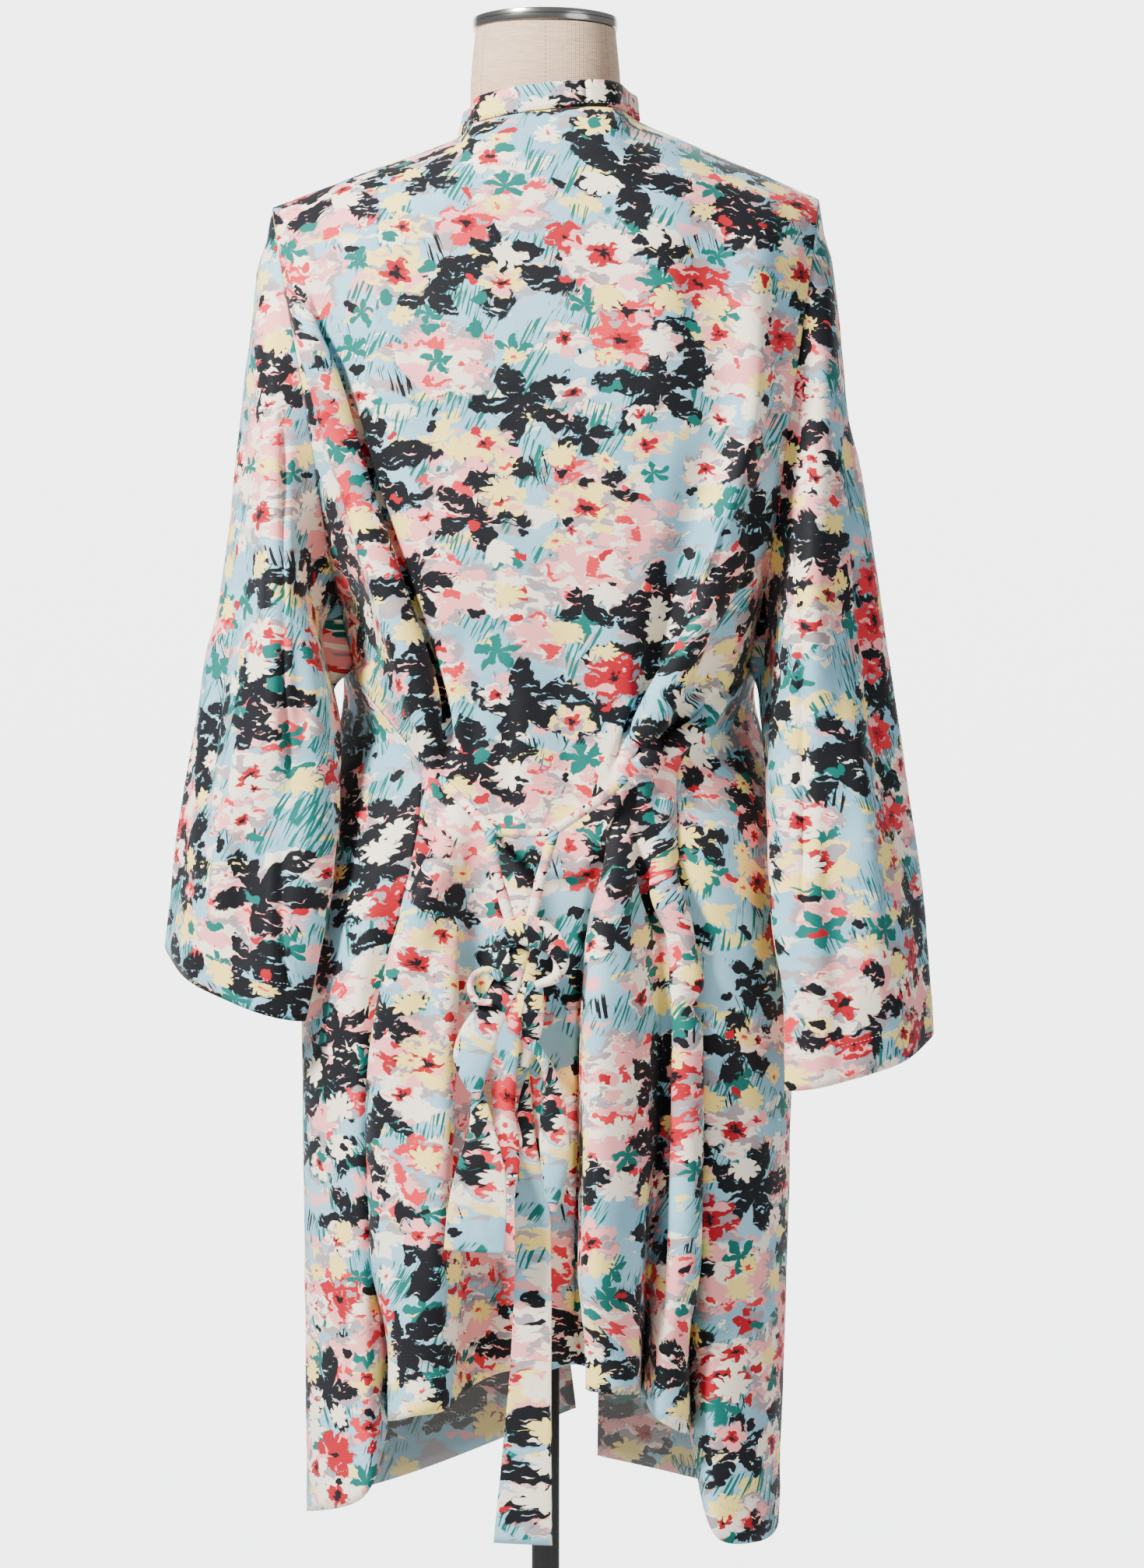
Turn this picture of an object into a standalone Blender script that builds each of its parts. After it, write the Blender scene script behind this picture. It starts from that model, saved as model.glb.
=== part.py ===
"""Kimono jacket with side ties drawn to a bow at the back, on a limbless dress form.

Metres, +Z up. The jacket's back faces -Y and the wearer's left is at -X.
The origin is the centre of the stand's underside.
"""
import math

import bmesh
import bpy
import numpy as np

MM = 0.001

# Cloth
WALL = 1.6 * MM
SEAM_GAP = 0.4 * MM

# Heights of the named levels of the jacket's body
CHEST_Z = 1.275
UNDERARM_Z = 1.085
WAIST_Z = 1.002
HIP_Z = 0.830
LOW_Z = 0.560
INNER_LEVELS = (CHEST_Z, UNDERARM_Z, WAIST_Z, HIP_Z)

# Rows of the wall between one level and the next, from the shoulder to the hem
ROWS_PER_LEVEL = (6, 4, 3, 4, 5)
COLUMNS_PER_LINE = 2

# The first rows crowd towards the shoulder, where the cloth turns over
CROWDING = 2.2

# Shoulder and back neck line: x, y, z in mm
TOP_EDGE = (
    (-196, 0, 1414),
    (-130, 0, 1438),
    (-62.5, -4, 1463),
    (-60, -32, 1465),
    (-49, -53, 1467),
    (-5, -70, 1473),
    (46, -59, 1477),
    (62, -34, 1476),
    (67, -4, 1474),
    (130, 0, 1447),
    (196, 0, 1420),
)
SHOULDER_ROUND = 70 * MM

# Horizontal sections of the jacket before its folds, mm:
# z, centre x, half width, depth at the back, depth at the front
BODY_SECTIONS = (
    (1480, 0, 204, 98, 90),
    (1360, 0, 200, 106, 112),
    (1275, 1, 192, 113, 128),
    (1180, 3, 166, 112, 136),
    (1085, 4, 142, 103, 122),
    (1002, 3, 137, 97, 106),
    (915, 2, 158, 110, 110),
    (830, 2, 170, 117, 112),
    (740, 2, 172, 117, 112),
    (560, 2, 170, 108, 112),
    (440, 2, 170, 104, 112),
)
SECTION_POWER = 2.5

# Ridges and troughs of the back, from the left side seam to the right one, mm.
# A line has its x at six levels, how far it stands out at the lower five, and its hem.
BACK_LINES = (
    # name, x (top, chest, underarm, waist, hip, hem), lift (chest to hem), hem z
    ("side_seam_left", (-196, -170, -138, -86, -114, -109), (0, 0, 0, -10, -34), 556),
    ("left_roll_ridge", (-183, -157, -99, -78, -104, -106), (16, 19, 7, 16, 20), 558),
    ("left_roll_trough", (-160, -143, -83, -69, -88, -88), (-4, -4, 4, 25, 30), 564),
    ("left_panel_edge", (-125, -112, -68, -59, -66, -72), (2, 2, 5, 17, 22), 566),
    ("left_recess", (-92, -80, -52, -48, -50, -50), (2, 2, 3, 0, -34), 578),
    ("centre_left", (-62.5, -54, -36, -34, -30, -26), (0, 2, 1, 0, -24), 589),
    ("centre_crease", (-49, -24, -22, -20, -9, 0), (-2, 4, 4, 5, -18), 590),
    ("centre_right", (-5, 5, 4, 6, 12, 20), (0, 1, 0, 1, -22), 594),
    ("right_recess", (46, 35, 30, 32, 34, 37), (0, 1, 2, -1, -28), 588),
    ("right_panel_edge", (67, 62, 48, 45, 35, 30), (2, 2, 5, 20, 22), 582),
    ("right_panel_middle", (94, 90, 62, 53, 52, 47), (2, 2, 6, 28, 30), 580),
    ("right_roll_trough", (124, 122, 76, 62, 69, 62), (-3, -6, 4, 16, 18), 578),
    ("right_roll_ridge", (150, 147, 92, 70, 81, 68), (12, 21, 8, -2, -34), 574),
    ("second_roll_trough", (170, 160, 112, 78, 88, 78), (2, -2, 3, 13, 14), 560),
    ("second_roll_ridge", (184, 168, 130, 85, 96, 97), (2, 9, 6, 9, 10), 548),
    ("side_seam_right", (196, 175, 146, 92, 99, 102), (0, 0, 0, -8, -32), 545),
)
LEFT_NECK_LINE = 5
RIGHT_NECK_LINE = 9

# Lines of the fronts from the side seam to the front edge, mm. Below the underarm the
# first line follows the back's side seam.
FRONT_LEFT_LINES = (
    # name, x (chest, underarm, waist, hip, hem), y at the same levels, hem z
    ("armhole", (-170, -138, -86, -114, -109), (83, 0, -88, -86, -60), 556),
    ("side_fold", (-155, -147, -118, -132, -124), (98, 34, -66, -98, -92), 505),
    ("side", (-132, -142, -156, -172, -168), (110, 78, 4, -36, -30), 482),
    ("hip_front", (-106, -112, -128, -152, -150), (120, 103, 58, 62, 58), 480),
    ("bust", (-76, -78, -86, -98, -92), (127, 121, 94, 102, 100), 492),
    ("front_edge", (-46, -34, -32, -14, 22), (129, 127, 105, 113, 118), 535),
)
FRONT_RIGHT_LINES = (
    ("armhole", (175, 146, 92, 99, 102), (83, 0, -88, -90, -62), 545),
    ("side_fold", (164, 152, 116, 116, 120), (94, 28, -72, -104, -94), 474),
    ("side_back", (150, 152, 146, 154, 150), (102, 60, -38, -78, -74), 468),
    ("side", (130, 144, 164, 176, 166), (111, 92, 24, -14, -18), 474),
    ("hip_front", (106, 112, 132, 152, 148), (120, 110, 72, 66, 62), 480),
    ("bust", (80, 80, 88, 96, 98), (127, 121, 98, 104, 102), 488),
    ("front_edge", (52, 46, 46, 42, 38), (129, 127, 105, 113, 119), 499),
)

# Sections of the sleeves, mm
LEFT_SLEEVE_SECTIONS = (
    # place along it, outer fold x y z, inner fold x y z, depth of back layer, of front layer
    (0.00, -196, 0, 1414, -138, 0, 1085, 84, 84),
    (0.16, -208, 0, 1345, -152, -14, 1066, 84, 84),
    (0.32, -219, 2, 1270, -145, -40, 1036, 80, 76),
    (0.52, -229, 6, 1160, -145, -66, 990, 62, 46),
    (0.72, -243, 12, 1050, -149, -86, 932, 54, 26),
    (0.87, -255, 16, 970, -156, -92, 884, 50, 12),
    (1.00, -262, 20, 890, -168, -88, 834, 48, 10),
)
RIGHT_SLEEVE_SECTIONS = (
    (0.00, 196, 0, 1420, 146, 0, 1085, 84, 84),
    (0.16, 207, 0, 1350, 153, -14, 1066, 84, 84),
    (0.32, 217, 2, 1268, 155, -38, 1032, 80, 76),
    (0.52, 234, 6, 1150, 158, -66, 972, 62, 46),
    (0.72, 248, 12, 1035, 160, -88, 902, 54, 26),
    (0.87, 260, 16, 930, 167, -96, 845, 50, 12),
    (1.00, 268, 20, 826, 168, -98, 786, 48, 10),
)
SLEEVE_RINGS = 15
SLEEVE_BLEND = 0.5

# Towards its hem a sleeve turns, so that its inner fold lies behind the hip
SLEEVE_TURN = math.radians(44)
TURN_START = 0.3

# Long folds of a sleeve
SLEEVE_FOLDS = (
    # degrees from the outer fold over the back, half width in degrees, height in mm,
    # start and end along the sleeve
    (60, 18, -6, 0.15, 1.1),
    (95, 16, 7, 0.2, 1.2),
    (128, 17, -9, 0.35, 0.95),
    (215, 22, -7, 0.3, 1.2),
    (260, 22, 7, 0.2, 1.2),
    (305, 20, -6, 0.25, 1.1),
)

# Neckband
BAND_WIDTH = 19 * MM
BAND_WALL = 2.4 * MM
BAND_ROWS = 4
BAND_END_Z = 1.14
BAND_TAPER = 0.07
BAND_END_SHARE = 0.12
BAND_SEAM_X = 27.7 * MM

# The band stands up at the back neck, leaning in, and lies flat this far below
BAND_LIES_FLAT = 0.10
BAND_LEAN = 0.1

# Strips of the ties and the bow, mm: each row x, y, z, width, thickness
STRIPS = {
    "tie_left": (
        (-73, -96.2, 1004, 7, 5),
        (-60, -111, 991, 8, 5),
        (-48, -123, 979, 8, 6),
        (-35, -130.6, 966, 8, 6),
    ),
    "tie_right": (
        (56, -102.7, 1004, 7, 5),
        (42, -116, 992, 8, 5),
        (26, -124, 981, 8, 6),
        (4, -130.5, 966, 8, 6),
    ),
    "knot_strip": (
        (-40, -136.8, 967, 7, 6),
        (-17, -137, 966, 7, 6),
        (9, -136.8, 967, 7, 6),
    ),
    "strand_left": (
        (-38, -143.2, 968, 8, 6),
        (-34, -144, 944, 9, 7),
        (-23, -145.4, 902, 8, 7),
    ),
    "strand_right": (
        (7, -143.2, 968, 8, 6),
        (-1, -144, 942, 8, 7),
        (-11, -145.6, 902, 8, 7),
    ),
    "bow_loop": (
        (-31, -152, 893, 12, 7),
        (-20, -153, 899, 20, 7),
        (-3, -153, 897, 21, 7),
        (11, -153, 884, 14, 7),
        (9, -152, 869, 9, 7),
        (-6, -151, 862, 7, 6),
    ),
    "bow_tongue": (
        (-13, -146.7, 895, 12, 5),
        (-24, -147, 868, 19, 6),
        (-34, -149, 847, 21, 7),
        (-44, -151, 830, 26, 8),
        (-49, -153, 812, 27, 8),
        (-48, -154, 796, 16, 6),
        (-46, -153, 784, 4, 4),
    ),
    "bow_small_loop": (
        (-30, -155, 866, 5, 6),
        (-38, -155, 873, 6, 6),
        (-47, -155, 870, 6, 6),
        (-51, -155, 861, 6, 6),
        (-47, -155, 852, 6, 6),
        (-36, -156.1, 850, 6, 6),
    ),
    "bow_back_band": (
        (-6, -145.2, 864, 11, 5),
        (-8, -141, 843, 16, 5),
        (-9, -137, 830, 15, 5),
        (-12, -133, 814, 9, 5),
        (-14, -132.5, 805, 7, 5),
    ),
    "long_loop": (
        (-9, -141.4, 822, 8, 7),
        (2, -140, 806, 9, 8),
        (6, -139, 790, 13, 9),
        (6, -140, 768, 20, 11),
        (7, -140, 740, 20, 11),
        (6, -139, 718, 12, 8),
        (6, -138, 706, 5, 5),
    ),
    "long_tail": (
        (-15, -126.4, 814, 8, 6),
        (-14, -127, 775, 13, 6),
        (-11, -127, 748, 13, 6),
        (-9, -127, 715, 24, 4),
        (-8, -127, 660, 26, 3),
        (-10, -127, 585, 30, 3),
        (-13, -127, 520, 36, 3),
        (-15, -127, 475, 41, 3),
    ),
    "short_tail": (
        (-45, -147.8, 789, 9, 4),
        (-43, -151.2, 762, 20, 5),
        (-44, -155, 732, 35, 4),
        (-47, -157, 695, 42, 3),
        (-48, -157, 680, 41, 3),
    ),
}
STRIP_SIDES = 8
STRIP_STEPS = 3

# Corner radius that makes an eight-sided section as wide as stated
STRIP_CORNER = 0.5 / math.cos(math.pi / STRIP_SIDES)

# Dress form, mm: z, half width, depth at the back, depth at the front
FORM_SECTIONS = (
    (748, 162, 106, 98),
    (790, 164, 108, 100),
    (830, 160, 108, 100),
    (880, 150, 102, 97),
    (940, 134, 92, 92),
    (1002, 124, 86, 92),
    (1060, 128, 90, 102),
    (1120, 138, 97, 116),
    (1180, 152, 102, 124),
    (1240, 166, 104, 120),
    (1300, 178, 102, 108),
    (1350, 184, 94, 94),
    (1385, 188, 74, 74),
    (1405, 187, 48, 52),
    (1412, 184, 34, 38),
    (1420, 174, 30, 34),
    (1437.2, 127, 34, 36),
    (1450.6, 88, 38, 40),
    (1459.5, 60, 44, 44),
    (1475, 54, 54, 52),
    (1497, 54, 54, 53),
    (1541, 50.5, 50.5, 50.5),
)
FORM_POWER = 2.2
FORM_SIDES = 32

# Neck cap and stand
RIM_RADIUS = 52.5 * MM
RIM_HEIGHT = 9 * MM
RIM_BASE_Z = 1541.3 * MM
POLE_RADIUS = 10 * MM
COLLAR_RADIUS = 22 * MM
COLLAR_HEIGHT = 30 * MM
BASE_RADIUS = 160 * MM
BASE_HEIGHT = 10 * MM
SOCKET_RADIUS = 16 * MM
SOCKET_HEIGHT = 28 * MM
ROUND_SIDES = 40


def clear_scene():
    for item in list(bpy.data.objects):
        bpy.data.objects.remove(item, do_unlink=True)


def make_collection(name):
    collection = bpy.data.collections.new(name)
    bpy.context.scene.collection.children.link(collection)
    return collection


def make_material(name, colour, roughness, metallic=0.0):
    material = bpy.data.materials.new(name)
    material.use_nodes = True
    shader = material.node_tree.nodes["Principled BSDF"]
    shader.inputs["Base Color"].default_value = (*colour, 1.0)
    shader.inputs["Roughness"].default_value = roughness
    shader.inputs["Metallic"].default_value = metallic
    material.diffuse_color = (*colour, 1.0)
    return material


def smooth_curve(knots, values, places):
    """Cubic through the knots that never overshoots them."""
    knots = np.asarray(knots, float)
    values = np.asarray(values, float)
    places = np.clip(places, knots[0], knots[-1])
    steps = np.diff(knots)
    slopes = np.diff(values) / steps
    tangents = np.zeros_like(values)
    tangents[0], tangents[-1] = slopes[0], slopes[-1]
    for i in range(1, len(values) - 1):
        before, after = slopes[i - 1], slopes[i]
        if before * after > 0:
            tangents[i] = 2 * before * after / (before + after)
    index = np.clip(np.searchsorted(knots, places, side="right") - 1, 0, len(steps) - 1)
    h = steps[index]
    s = (places - knots[index]) / h
    return (
        (1 + 2 * s) * (1 - s) ** 2 * values[index]
        + s * (1 - s) ** 2 * h * tangents[index]
        + s ** 2 * (3 - 2 * s) * values[index + 1]
        + s ** 2 * (s - 1) * h * tangents[index + 1]
    )


def rounded_line(points, steps):
    """Points of a round curve through the given ones, steps to each stretch."""
    points = np.asarray(points, float)
    lengths = np.linalg.norm(np.diff(points[:, :3], axis=0), axis=1)
    knots = np.concatenate(([0.0], np.cumsum(np.sqrt(np.maximum(lengths, 1e-6)))))
    tangents = np.gradient(points, knots, axis=0)
    out = []
    for i in range(len(points) - 1):
        h = knots[i + 1] - knots[i]
        for k in range(steps):
            s = k / steps
            out.append(
                (1 + 2 * s) * (1 - s) ** 2 * points[i]
                + s * (1 - s) ** 2 * h * tangents[i]
                + s ** 2 * (3 - 2 * s) * points[i + 1]
                + s ** 2 * (s - 1) * h * tangents[i + 1]
            )
    out.append(points[-1])
    return np.array(out)


def section_at(z):
    """Centre x, half width, back depth and front depth of the jacket at a height."""
    rows = np.array(BODY_SECTIONS[::-1], float) * MM
    return [smooth_curve(rows[:, 0], rows[:, i], z) for i in range(1, 5)]


def top_edge_at(x):
    """Depth and height of the shoulder and neck line."""
    rows = np.array(TOP_EDGE, float) * MM
    return smooth_curve(rows[:, 0], rows[:, 1], x), smooth_curve(rows[:, 0], rows[:, 2], x)


def round_over(drop):
    """How far the cloth has turned over the shoulder at a depth below its line."""
    s = 1 - np.clip(drop / SHOULDER_ROUND, 0, 1)
    return np.sqrt(1 - s * s)


def level_places(top_z, hem_z):
    """Height of each row, and its place among the levels."""
    heights = (top_z, *INNER_LEVELS, hem_z)
    knots = np.array((CHEST_Z + 0.15, *INNER_LEVELS, LOW_Z))
    z_rows, places = [], []
    for i, count in enumerate(ROWS_PER_LEVEL):
        for k in range(count):
            share_down = (k / count) ** (CROWDING if i == 0 else 1)
            z_rows.append(heights[i] + (heights[i + 1] - heights[i]) * share_down)
            places.append(knots[i] + (knots[i + 1] - knots[i]) * share_down)
    z_rows.append(hem_z)
    places.append(LOW_Z)
    return np.array(z_rows), -np.array(places), -knots


def back_line(row):
    """Points of one ridge, trough or seam of the back from its top to the hem."""
    _, x_values, lifts, hem = row
    x_values = np.array(x_values) * MM
    top_y, top_z = top_edge_at(x_values[0])
    z, places, knots = level_places(float(top_z), hem * MM)
    x = smooth_curve(knots, x_values, places)
    lift = smooth_curve(knots, np.array((0, *lifts)) * MM, places)
    centre, half, back, _ = section_at(z)
    side = np.clip(np.abs(x - centre) / half, 0, 1)
    full = -back * (1 - side ** SECTION_POWER) ** (1 / SECTION_POWER)
    y = top_y + (full - top_y) * round_over(top_z - z) - lift
    return np.stack((x, y, z), axis=1)


def front_line(row, top_point):
    """Points of one line of a front from its shoulder point to the hem."""
    _, x_values, y_values, hem = row
    z, places, knots = level_places(top_point[2], hem * MM)
    x = smooth_curve(knots, np.array((top_point[0] / MM, *x_values)) * MM, places)
    y = smooth_curve(knots, np.array((y_values[0], *y_values)) * MM, places)
    y = top_point[1] + (y - top_point[1]) * round_over(top_point[2] - z)
    return np.stack((x, y, z), axis=1)


def across(lines):
    """Grid of points, rows down the cloth and columns across it."""
    lines = np.array(lines)
    return np.array([rounded_line(lines[:, r], COLUMNS_PER_LINE) for r in range(lines.shape[1])])


def grid_normals(grid, wrap=False):
    if wrap:
        across_step = np.roll(grid, -1, axis=1) - np.roll(grid, 1, axis=1)
    else:
        across_step = np.gradient(grid, axis=1)
    normals = np.cross(across_step, np.gradient(grid, axis=0))
    return normals / np.linalg.norm(normals, axis=2, keepdims=True)


def outward_normals(grid, wrap=False):
    """Normals that point away from the middle of what the cloth goes round."""
    normals = grid_normals(grid, wrap)
    middle = grid.mean(axis=1, keepdims=True) if wrap else np.array((0, 0, 1))
    away = (grid - middle) * np.array((1, 1, 1 if wrap else 0))
    return normals if np.sum(normals * away) > 0 else -normals


def unit(vectors):
    return vectors / np.linalg.norm(vectors, axis=-1, keepdims=True)


def share(*edges):
    """Gives the touching edges of panels one set of normals."""
    mean = unit(sum(edge.copy() for edge in edges))
    for edge in edges:
        edge[...] = mean


def mesh_object(name, vertices, faces, material, collection):
    mesh = bpy.data.meshes.new(name)
    mesh.from_pydata([tuple(float(c) for c in v) for v in vertices], [], faces)
    bm = bmesh.new()
    bm.from_mesh(mesh)
    bmesh.ops.recalc_face_normals(bm, faces=bm.faces)
    bm.to_mesh(mesh)
    bm.free()
    mesh.shade_smooth()
    mesh.set_sharp_from_angle(angle=math.radians(40))
    mesh.materials.append(material)
    item = bpy.data.objects.new(name, mesh)
    collection.objects.link(item)
    return item


def wall_object(name, grid, normals, thickness, material, collection, wrap=False):
    """Closed wall of cloth about a grid of points."""
    rows, columns = grid.shape[:2]
    outer = (grid + normals * thickness / 2).reshape(-1, 3)
    inner = (grid - normals * thickness / 2).reshape(-1, 3)
    shift = rows * columns
    faces = []
    last = columns if wrap else columns - 1
    for r in range(rows - 1):
        for c in range(last):
            a, b = r * columns + c, r * columns + (c + 1) % columns
            for half in ((a, b, b + columns), (a, b + columns, a + columns)):
                faces.append(half)
                faces.append(tuple(v + shift for v in reversed(half)))
    for r in (0, rows - 1):
        for c in range(last):
            a, b = r * columns + c, r * columns + (c + 1) % columns
            faces.append((a, b, b + shift, a + shift))
    if not wrap:
        for c in (0, columns - 1):
            for r in range(rows - 1):
                a, b = r * columns + c, (r + 1) * columns + c
                faces.append((a, b, b + shift, a + shift))
    return mesh_object(name, np.concatenate((outer, inner)), faces, material, collection)


def inset_columns(grid, first, last):
    """Draws the seam edges back by half the gap."""
    out = grid.copy()
    if first:
        out[:, 0] += unit(grid[:, 1] - grid[:, 0]) * SEAM_GAP / 2
    if last:
        out[:, -1] += unit(grid[:, -2] - grid[:, -1]) * SEAM_GAP / 2
    return out


def inset_top(grid):
    out = grid.copy()
    out[0] += unit(grid[1] - grid[0]) * SEAM_GAP / 2
    return out


def body_grids():
    """Grids of the back and both fronts, with their shared edges at the same points."""
    back_lines = [back_line(row) for row in BACK_LINES]
    back = across(back_lines)
    left_count = LEFT_NECK_LINE * COLUMNS_PER_LINE + 1
    right_count = (len(BACK_LINES) - 1 - RIGHT_NECK_LINE) * COLUMNS_PER_LINE + 1
    arm_rows = armhole_rows()

    fronts = []
    for rows, top_row, seam in (
        (FRONT_LEFT_LINES, back[0, :left_count], back[:, 0]),
        (FRONT_RIGHT_LINES, back[0, ::-1][:right_count], back[:, -1]),
    ):
        tops = top_row[::COLUMNS_PER_LINE]
        lines = [front_line(row, top) for row, top in zip(rows, tops)]
        lines[0][arm_rows:] = seam[arm_rows:]
        grid = across(lines)
        grid[0] = top_row
        fronts.append(grid)
    return back, fronts[0], fronts[1]


def armhole_rows():
    """Rows of the body from the shoulder to the underarm."""
    return ROWS_PER_LEVEL[0] + ROWS_PER_LEVEL[1]


def armhole_loop(back_edge, front_edge):
    """Points round the armhole: shoulder, back, underarm, front."""
    count = armhole_rows()
    return np.concatenate((back_edge[:count + 1], front_edge[1:count][::-1]))


def sleeve_grid(sections, loop, folds, rings=SLEEVE_RINGS):
    """Rings of a sleeve from the armhole to its hem."""
    table = np.array(sections, float)
    table[:, 1:] *= MM
    even = np.arange(len(loop)) * 2 * math.pi / len(loop)

    def value(column, place):
        return float(smooth_curve(table[:, 0], table[:, column], place))

    def ends(place):
        outer = np.array([value(i, place) for i in (1, 2, 3)])
        inner = np.array([value(i, place) for i in (4, 5, 6)])
        return outer, inner

    outer, inner = ends(0.0)
    arm = (outer - inner) / 2
    reach = loop - (outer + inner) / 2
    along = reach @ arm / (arm @ arm)
    behind = -reach[:, 1] / np.where(reach[:, 1] < 0, value(7, 0.0), value(8, 0.0))
    start_angles = np.mod(np.arctan2(behind, along), 2 * math.pi)
    start_angles[0] = 0.0

    def ring(place, fade):
        outer, inner = ends(place)
        centre, arm = (outer + inner) / 2, (outer - inner) / 2
        angles = start_angles * fade + even * (1 - fade)
        late = min(1.0, max(0.0, (place - TURN_START) / (1 - TURN_START)))
        turn = SLEEVE_TURN * late * late * (3 - 2 * late)
        behind = np.array((math.copysign(math.sin(turn), outer[0]), -math.cos(turn), 0.0))
        points = []
        for angle in angles:
            depth = value(7 if math.sin(angle) > 0 else 8, place)
            across_part = behind * math.sin(angle)
            out = unit(unit(arm) * math.cos(angle) + across_part)
            swell = fold_swell(folds, math.degrees(angle), place)
            points.append(centre + arm * math.cos(angle) + across_part * depth + out * swell)
        return np.array(points)

    first = ring(0.0, 1.0)
    grid = [loop]
    for r in range(1, rings):
        place = r / (rings - 1)
        fade = max(0.0, 1 - place / SLEEVE_BLEND)
        fade = fade * fade * (3 - 2 * fade)
        grid.append(ring(place, fade) + (loop - first) * fade)
    return np.array(grid)


def fold_swell(folds, degrees, place):
    """How far the long folds raise a sleeve at an angle and a place along it."""
    swell = 0.0
    for middle, half, depth, start, end in folds:
        if start < place < end:
            away = (degrees - middle) / half
            length_share = math.sin(math.pi * (place - start) / (end - start))
            swell += depth * MM * math.exp(-away * away) * length_share
    return swell


def build_jacket(cloth, collection):
    back, left, right = body_grids()
    back_n, left_n, right_n = (outward_normals(grid) for grid in (back, left, right))
    share(back_n[:, 0], left_n[:, 0])
    share(back_n[:, -1], right_n[:, 0])
    share(back_n[0, :left.shape[1]], left_n[0])
    share(back_n[0, ::-1][:right.shape[1]], right_n[0])

    sleeves = []
    for side, sections, front, front_n, column in (
        ("left", LEFT_SLEEVE_SECTIONS, left, left_n, 0),
        ("right", RIGHT_SLEEVE_SECTIONS, right, right_n, -1),
    ):
        loop = armhole_loop(back[:, column], front[:, 0])
        grid = sleeve_grid(sections, loop, SLEEVE_FOLDS)
        normals = outward_normals(grid, wrap=True)
        count = armhole_rows()
        body_n = armhole_loop(back_n[:, column], front_n[:, 0])
        mean = unit(unit(normals[0]) + unit(body_n))
        normals[0] = mean
        back_n[:count + 1, column] = mean[:count + 1]
        front_n[:count + 1, 0] = np.concatenate((mean[:1], mean[count:][::-1]))
        sleeves.append((side, inset_top(grid), normals))

    for name, grid, normals, far_seam in (
        ("back_panel", back, back_n, True),
        ("front_left", left, left_n, False),
        ("front_right", right, right_n, False),
    ):
        cut = inset_top(inset_columns(grid, True, far_seam))
        wall_object(name, cut, normals, WALL, cloth, collection)
    for side, grid, normals in sleeves:
        wall_object("sleeve_" + side, grid, normals, WALL, cloth, collection, wrap=True)
    return back, left, right


def neck_path(back, left, right):
    """Neckline from the left front's lower end round the neck to the right one's."""
    def upper(edge):
        return edge[edge[:, 2] > BAND_END_Z]

    left_neck = LEFT_NECK_LINE * COLUMNS_PER_LINE
    right_neck = RIGHT_NECK_LINE * COLUMNS_PER_LINE
    return np.concatenate((
        upper(left[:, -1])[::-1],
        back[0, left_neck + 1:right_neck],
        upper(right[:, -1]),
    ))


def build_neckband(cloth, collection, back, left, right):
    """Folded band that stands round the neck and lies along the front edges."""
    path = rounded_line(neck_path(back, left, right), 2)
    tangent = unit(np.gradient(path, axis=0))
    drop = np.clip((path[:, 2].max() - path[:, 2]) / BAND_LIES_FLAT, 0, 1)[:, None]
    to_middle = -path * np.array((1, 0, 0))
    up = np.array((0, 0, 1.0)) + unit(-path * np.array((1, 1, 0))) * BAND_LEAN
    wish = unit(up) * (1 - drop) + unit(to_middle) * drop
    rise = unit(wish - tangent * np.sum(wish * tangent, axis=1, keepdims=True))
    normal = unit(np.cross(tangent, rise))
    if np.sum(normal * path * np.array((1, 1, 0))) < 0:
        normal *= -1
    ends = np.clip((path[:, 2] - BAND_END_Z) / BAND_TAPER, BAND_END_SHARE, 1)[:, None]
    width = BAND_WIDTH * ends
    start = path + rise * (WALL / 2 + SEAM_GAP)
    grid = np.stack([start + rise * width * k / (BAND_ROWS - 1) for k in range(BAND_ROWS)])
    normals = np.stack([normal] * BAND_ROWS)

    behind = [i for i in range(len(path)) if path[i, 1] < 0]
    seam = min(behind, key=lambda i: abs(path[i, 0] - BAND_SEAM_X))
    left_cut = inset_columns(grid[:, :seam + 1], False, True)
    right_cut = inset_columns(grid[:, seam:], True, False)
    wall_object("neckband_left", left_cut, normals[:, :seam + 1], BAND_WALL, cloth, collection)
    wall_object("neckband_right", right_cut, normals[:, seam:], BAND_WALL, cloth, collection)


def build_strip(name, rows, cloth, collection):
    """Folded strip of a tie along its path, closed at both ends."""
    path = rounded_line(np.array(rows, float) * MM, STRIP_STEPS)
    centre, width, thickness = path[:, :3], path[:, 3], path[:, 4]
    tangent = unit(np.gradient(centre, axis=0))
    side = unit(np.cross(tangent, np.array((0, -1.0, 0))))
    face = np.cross(side, tangent)
    vertices, faces = [], []
    for i in range(len(path)):
        for k in range(STRIP_SIDES):
            angle = 2 * math.pi * (k + 0.5) / STRIP_SIDES
            across_part = side[i] * math.cos(angle) * width[i] * STRIP_CORNER
            face_part = face[i] * math.sin(angle) * thickness[i] * STRIP_CORNER
            vertices.append(centre[i] + across_part + face_part)
    for i in range(len(path) - 1):
        for k in range(STRIP_SIDES):
            a, b = i * STRIP_SIDES + k, i * STRIP_SIDES + (k + 1) % STRIP_SIDES
            faces.append((a, b, b + STRIP_SIDES, a + STRIP_SIDES))
    last = (len(path) - 1) * STRIP_SIDES
    faces.append(tuple(range(STRIP_SIDES)))
    faces.append(tuple(range(last, last + STRIP_SIDES)))
    return mesh_object(name, vertices, faces, cloth, collection)


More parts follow.
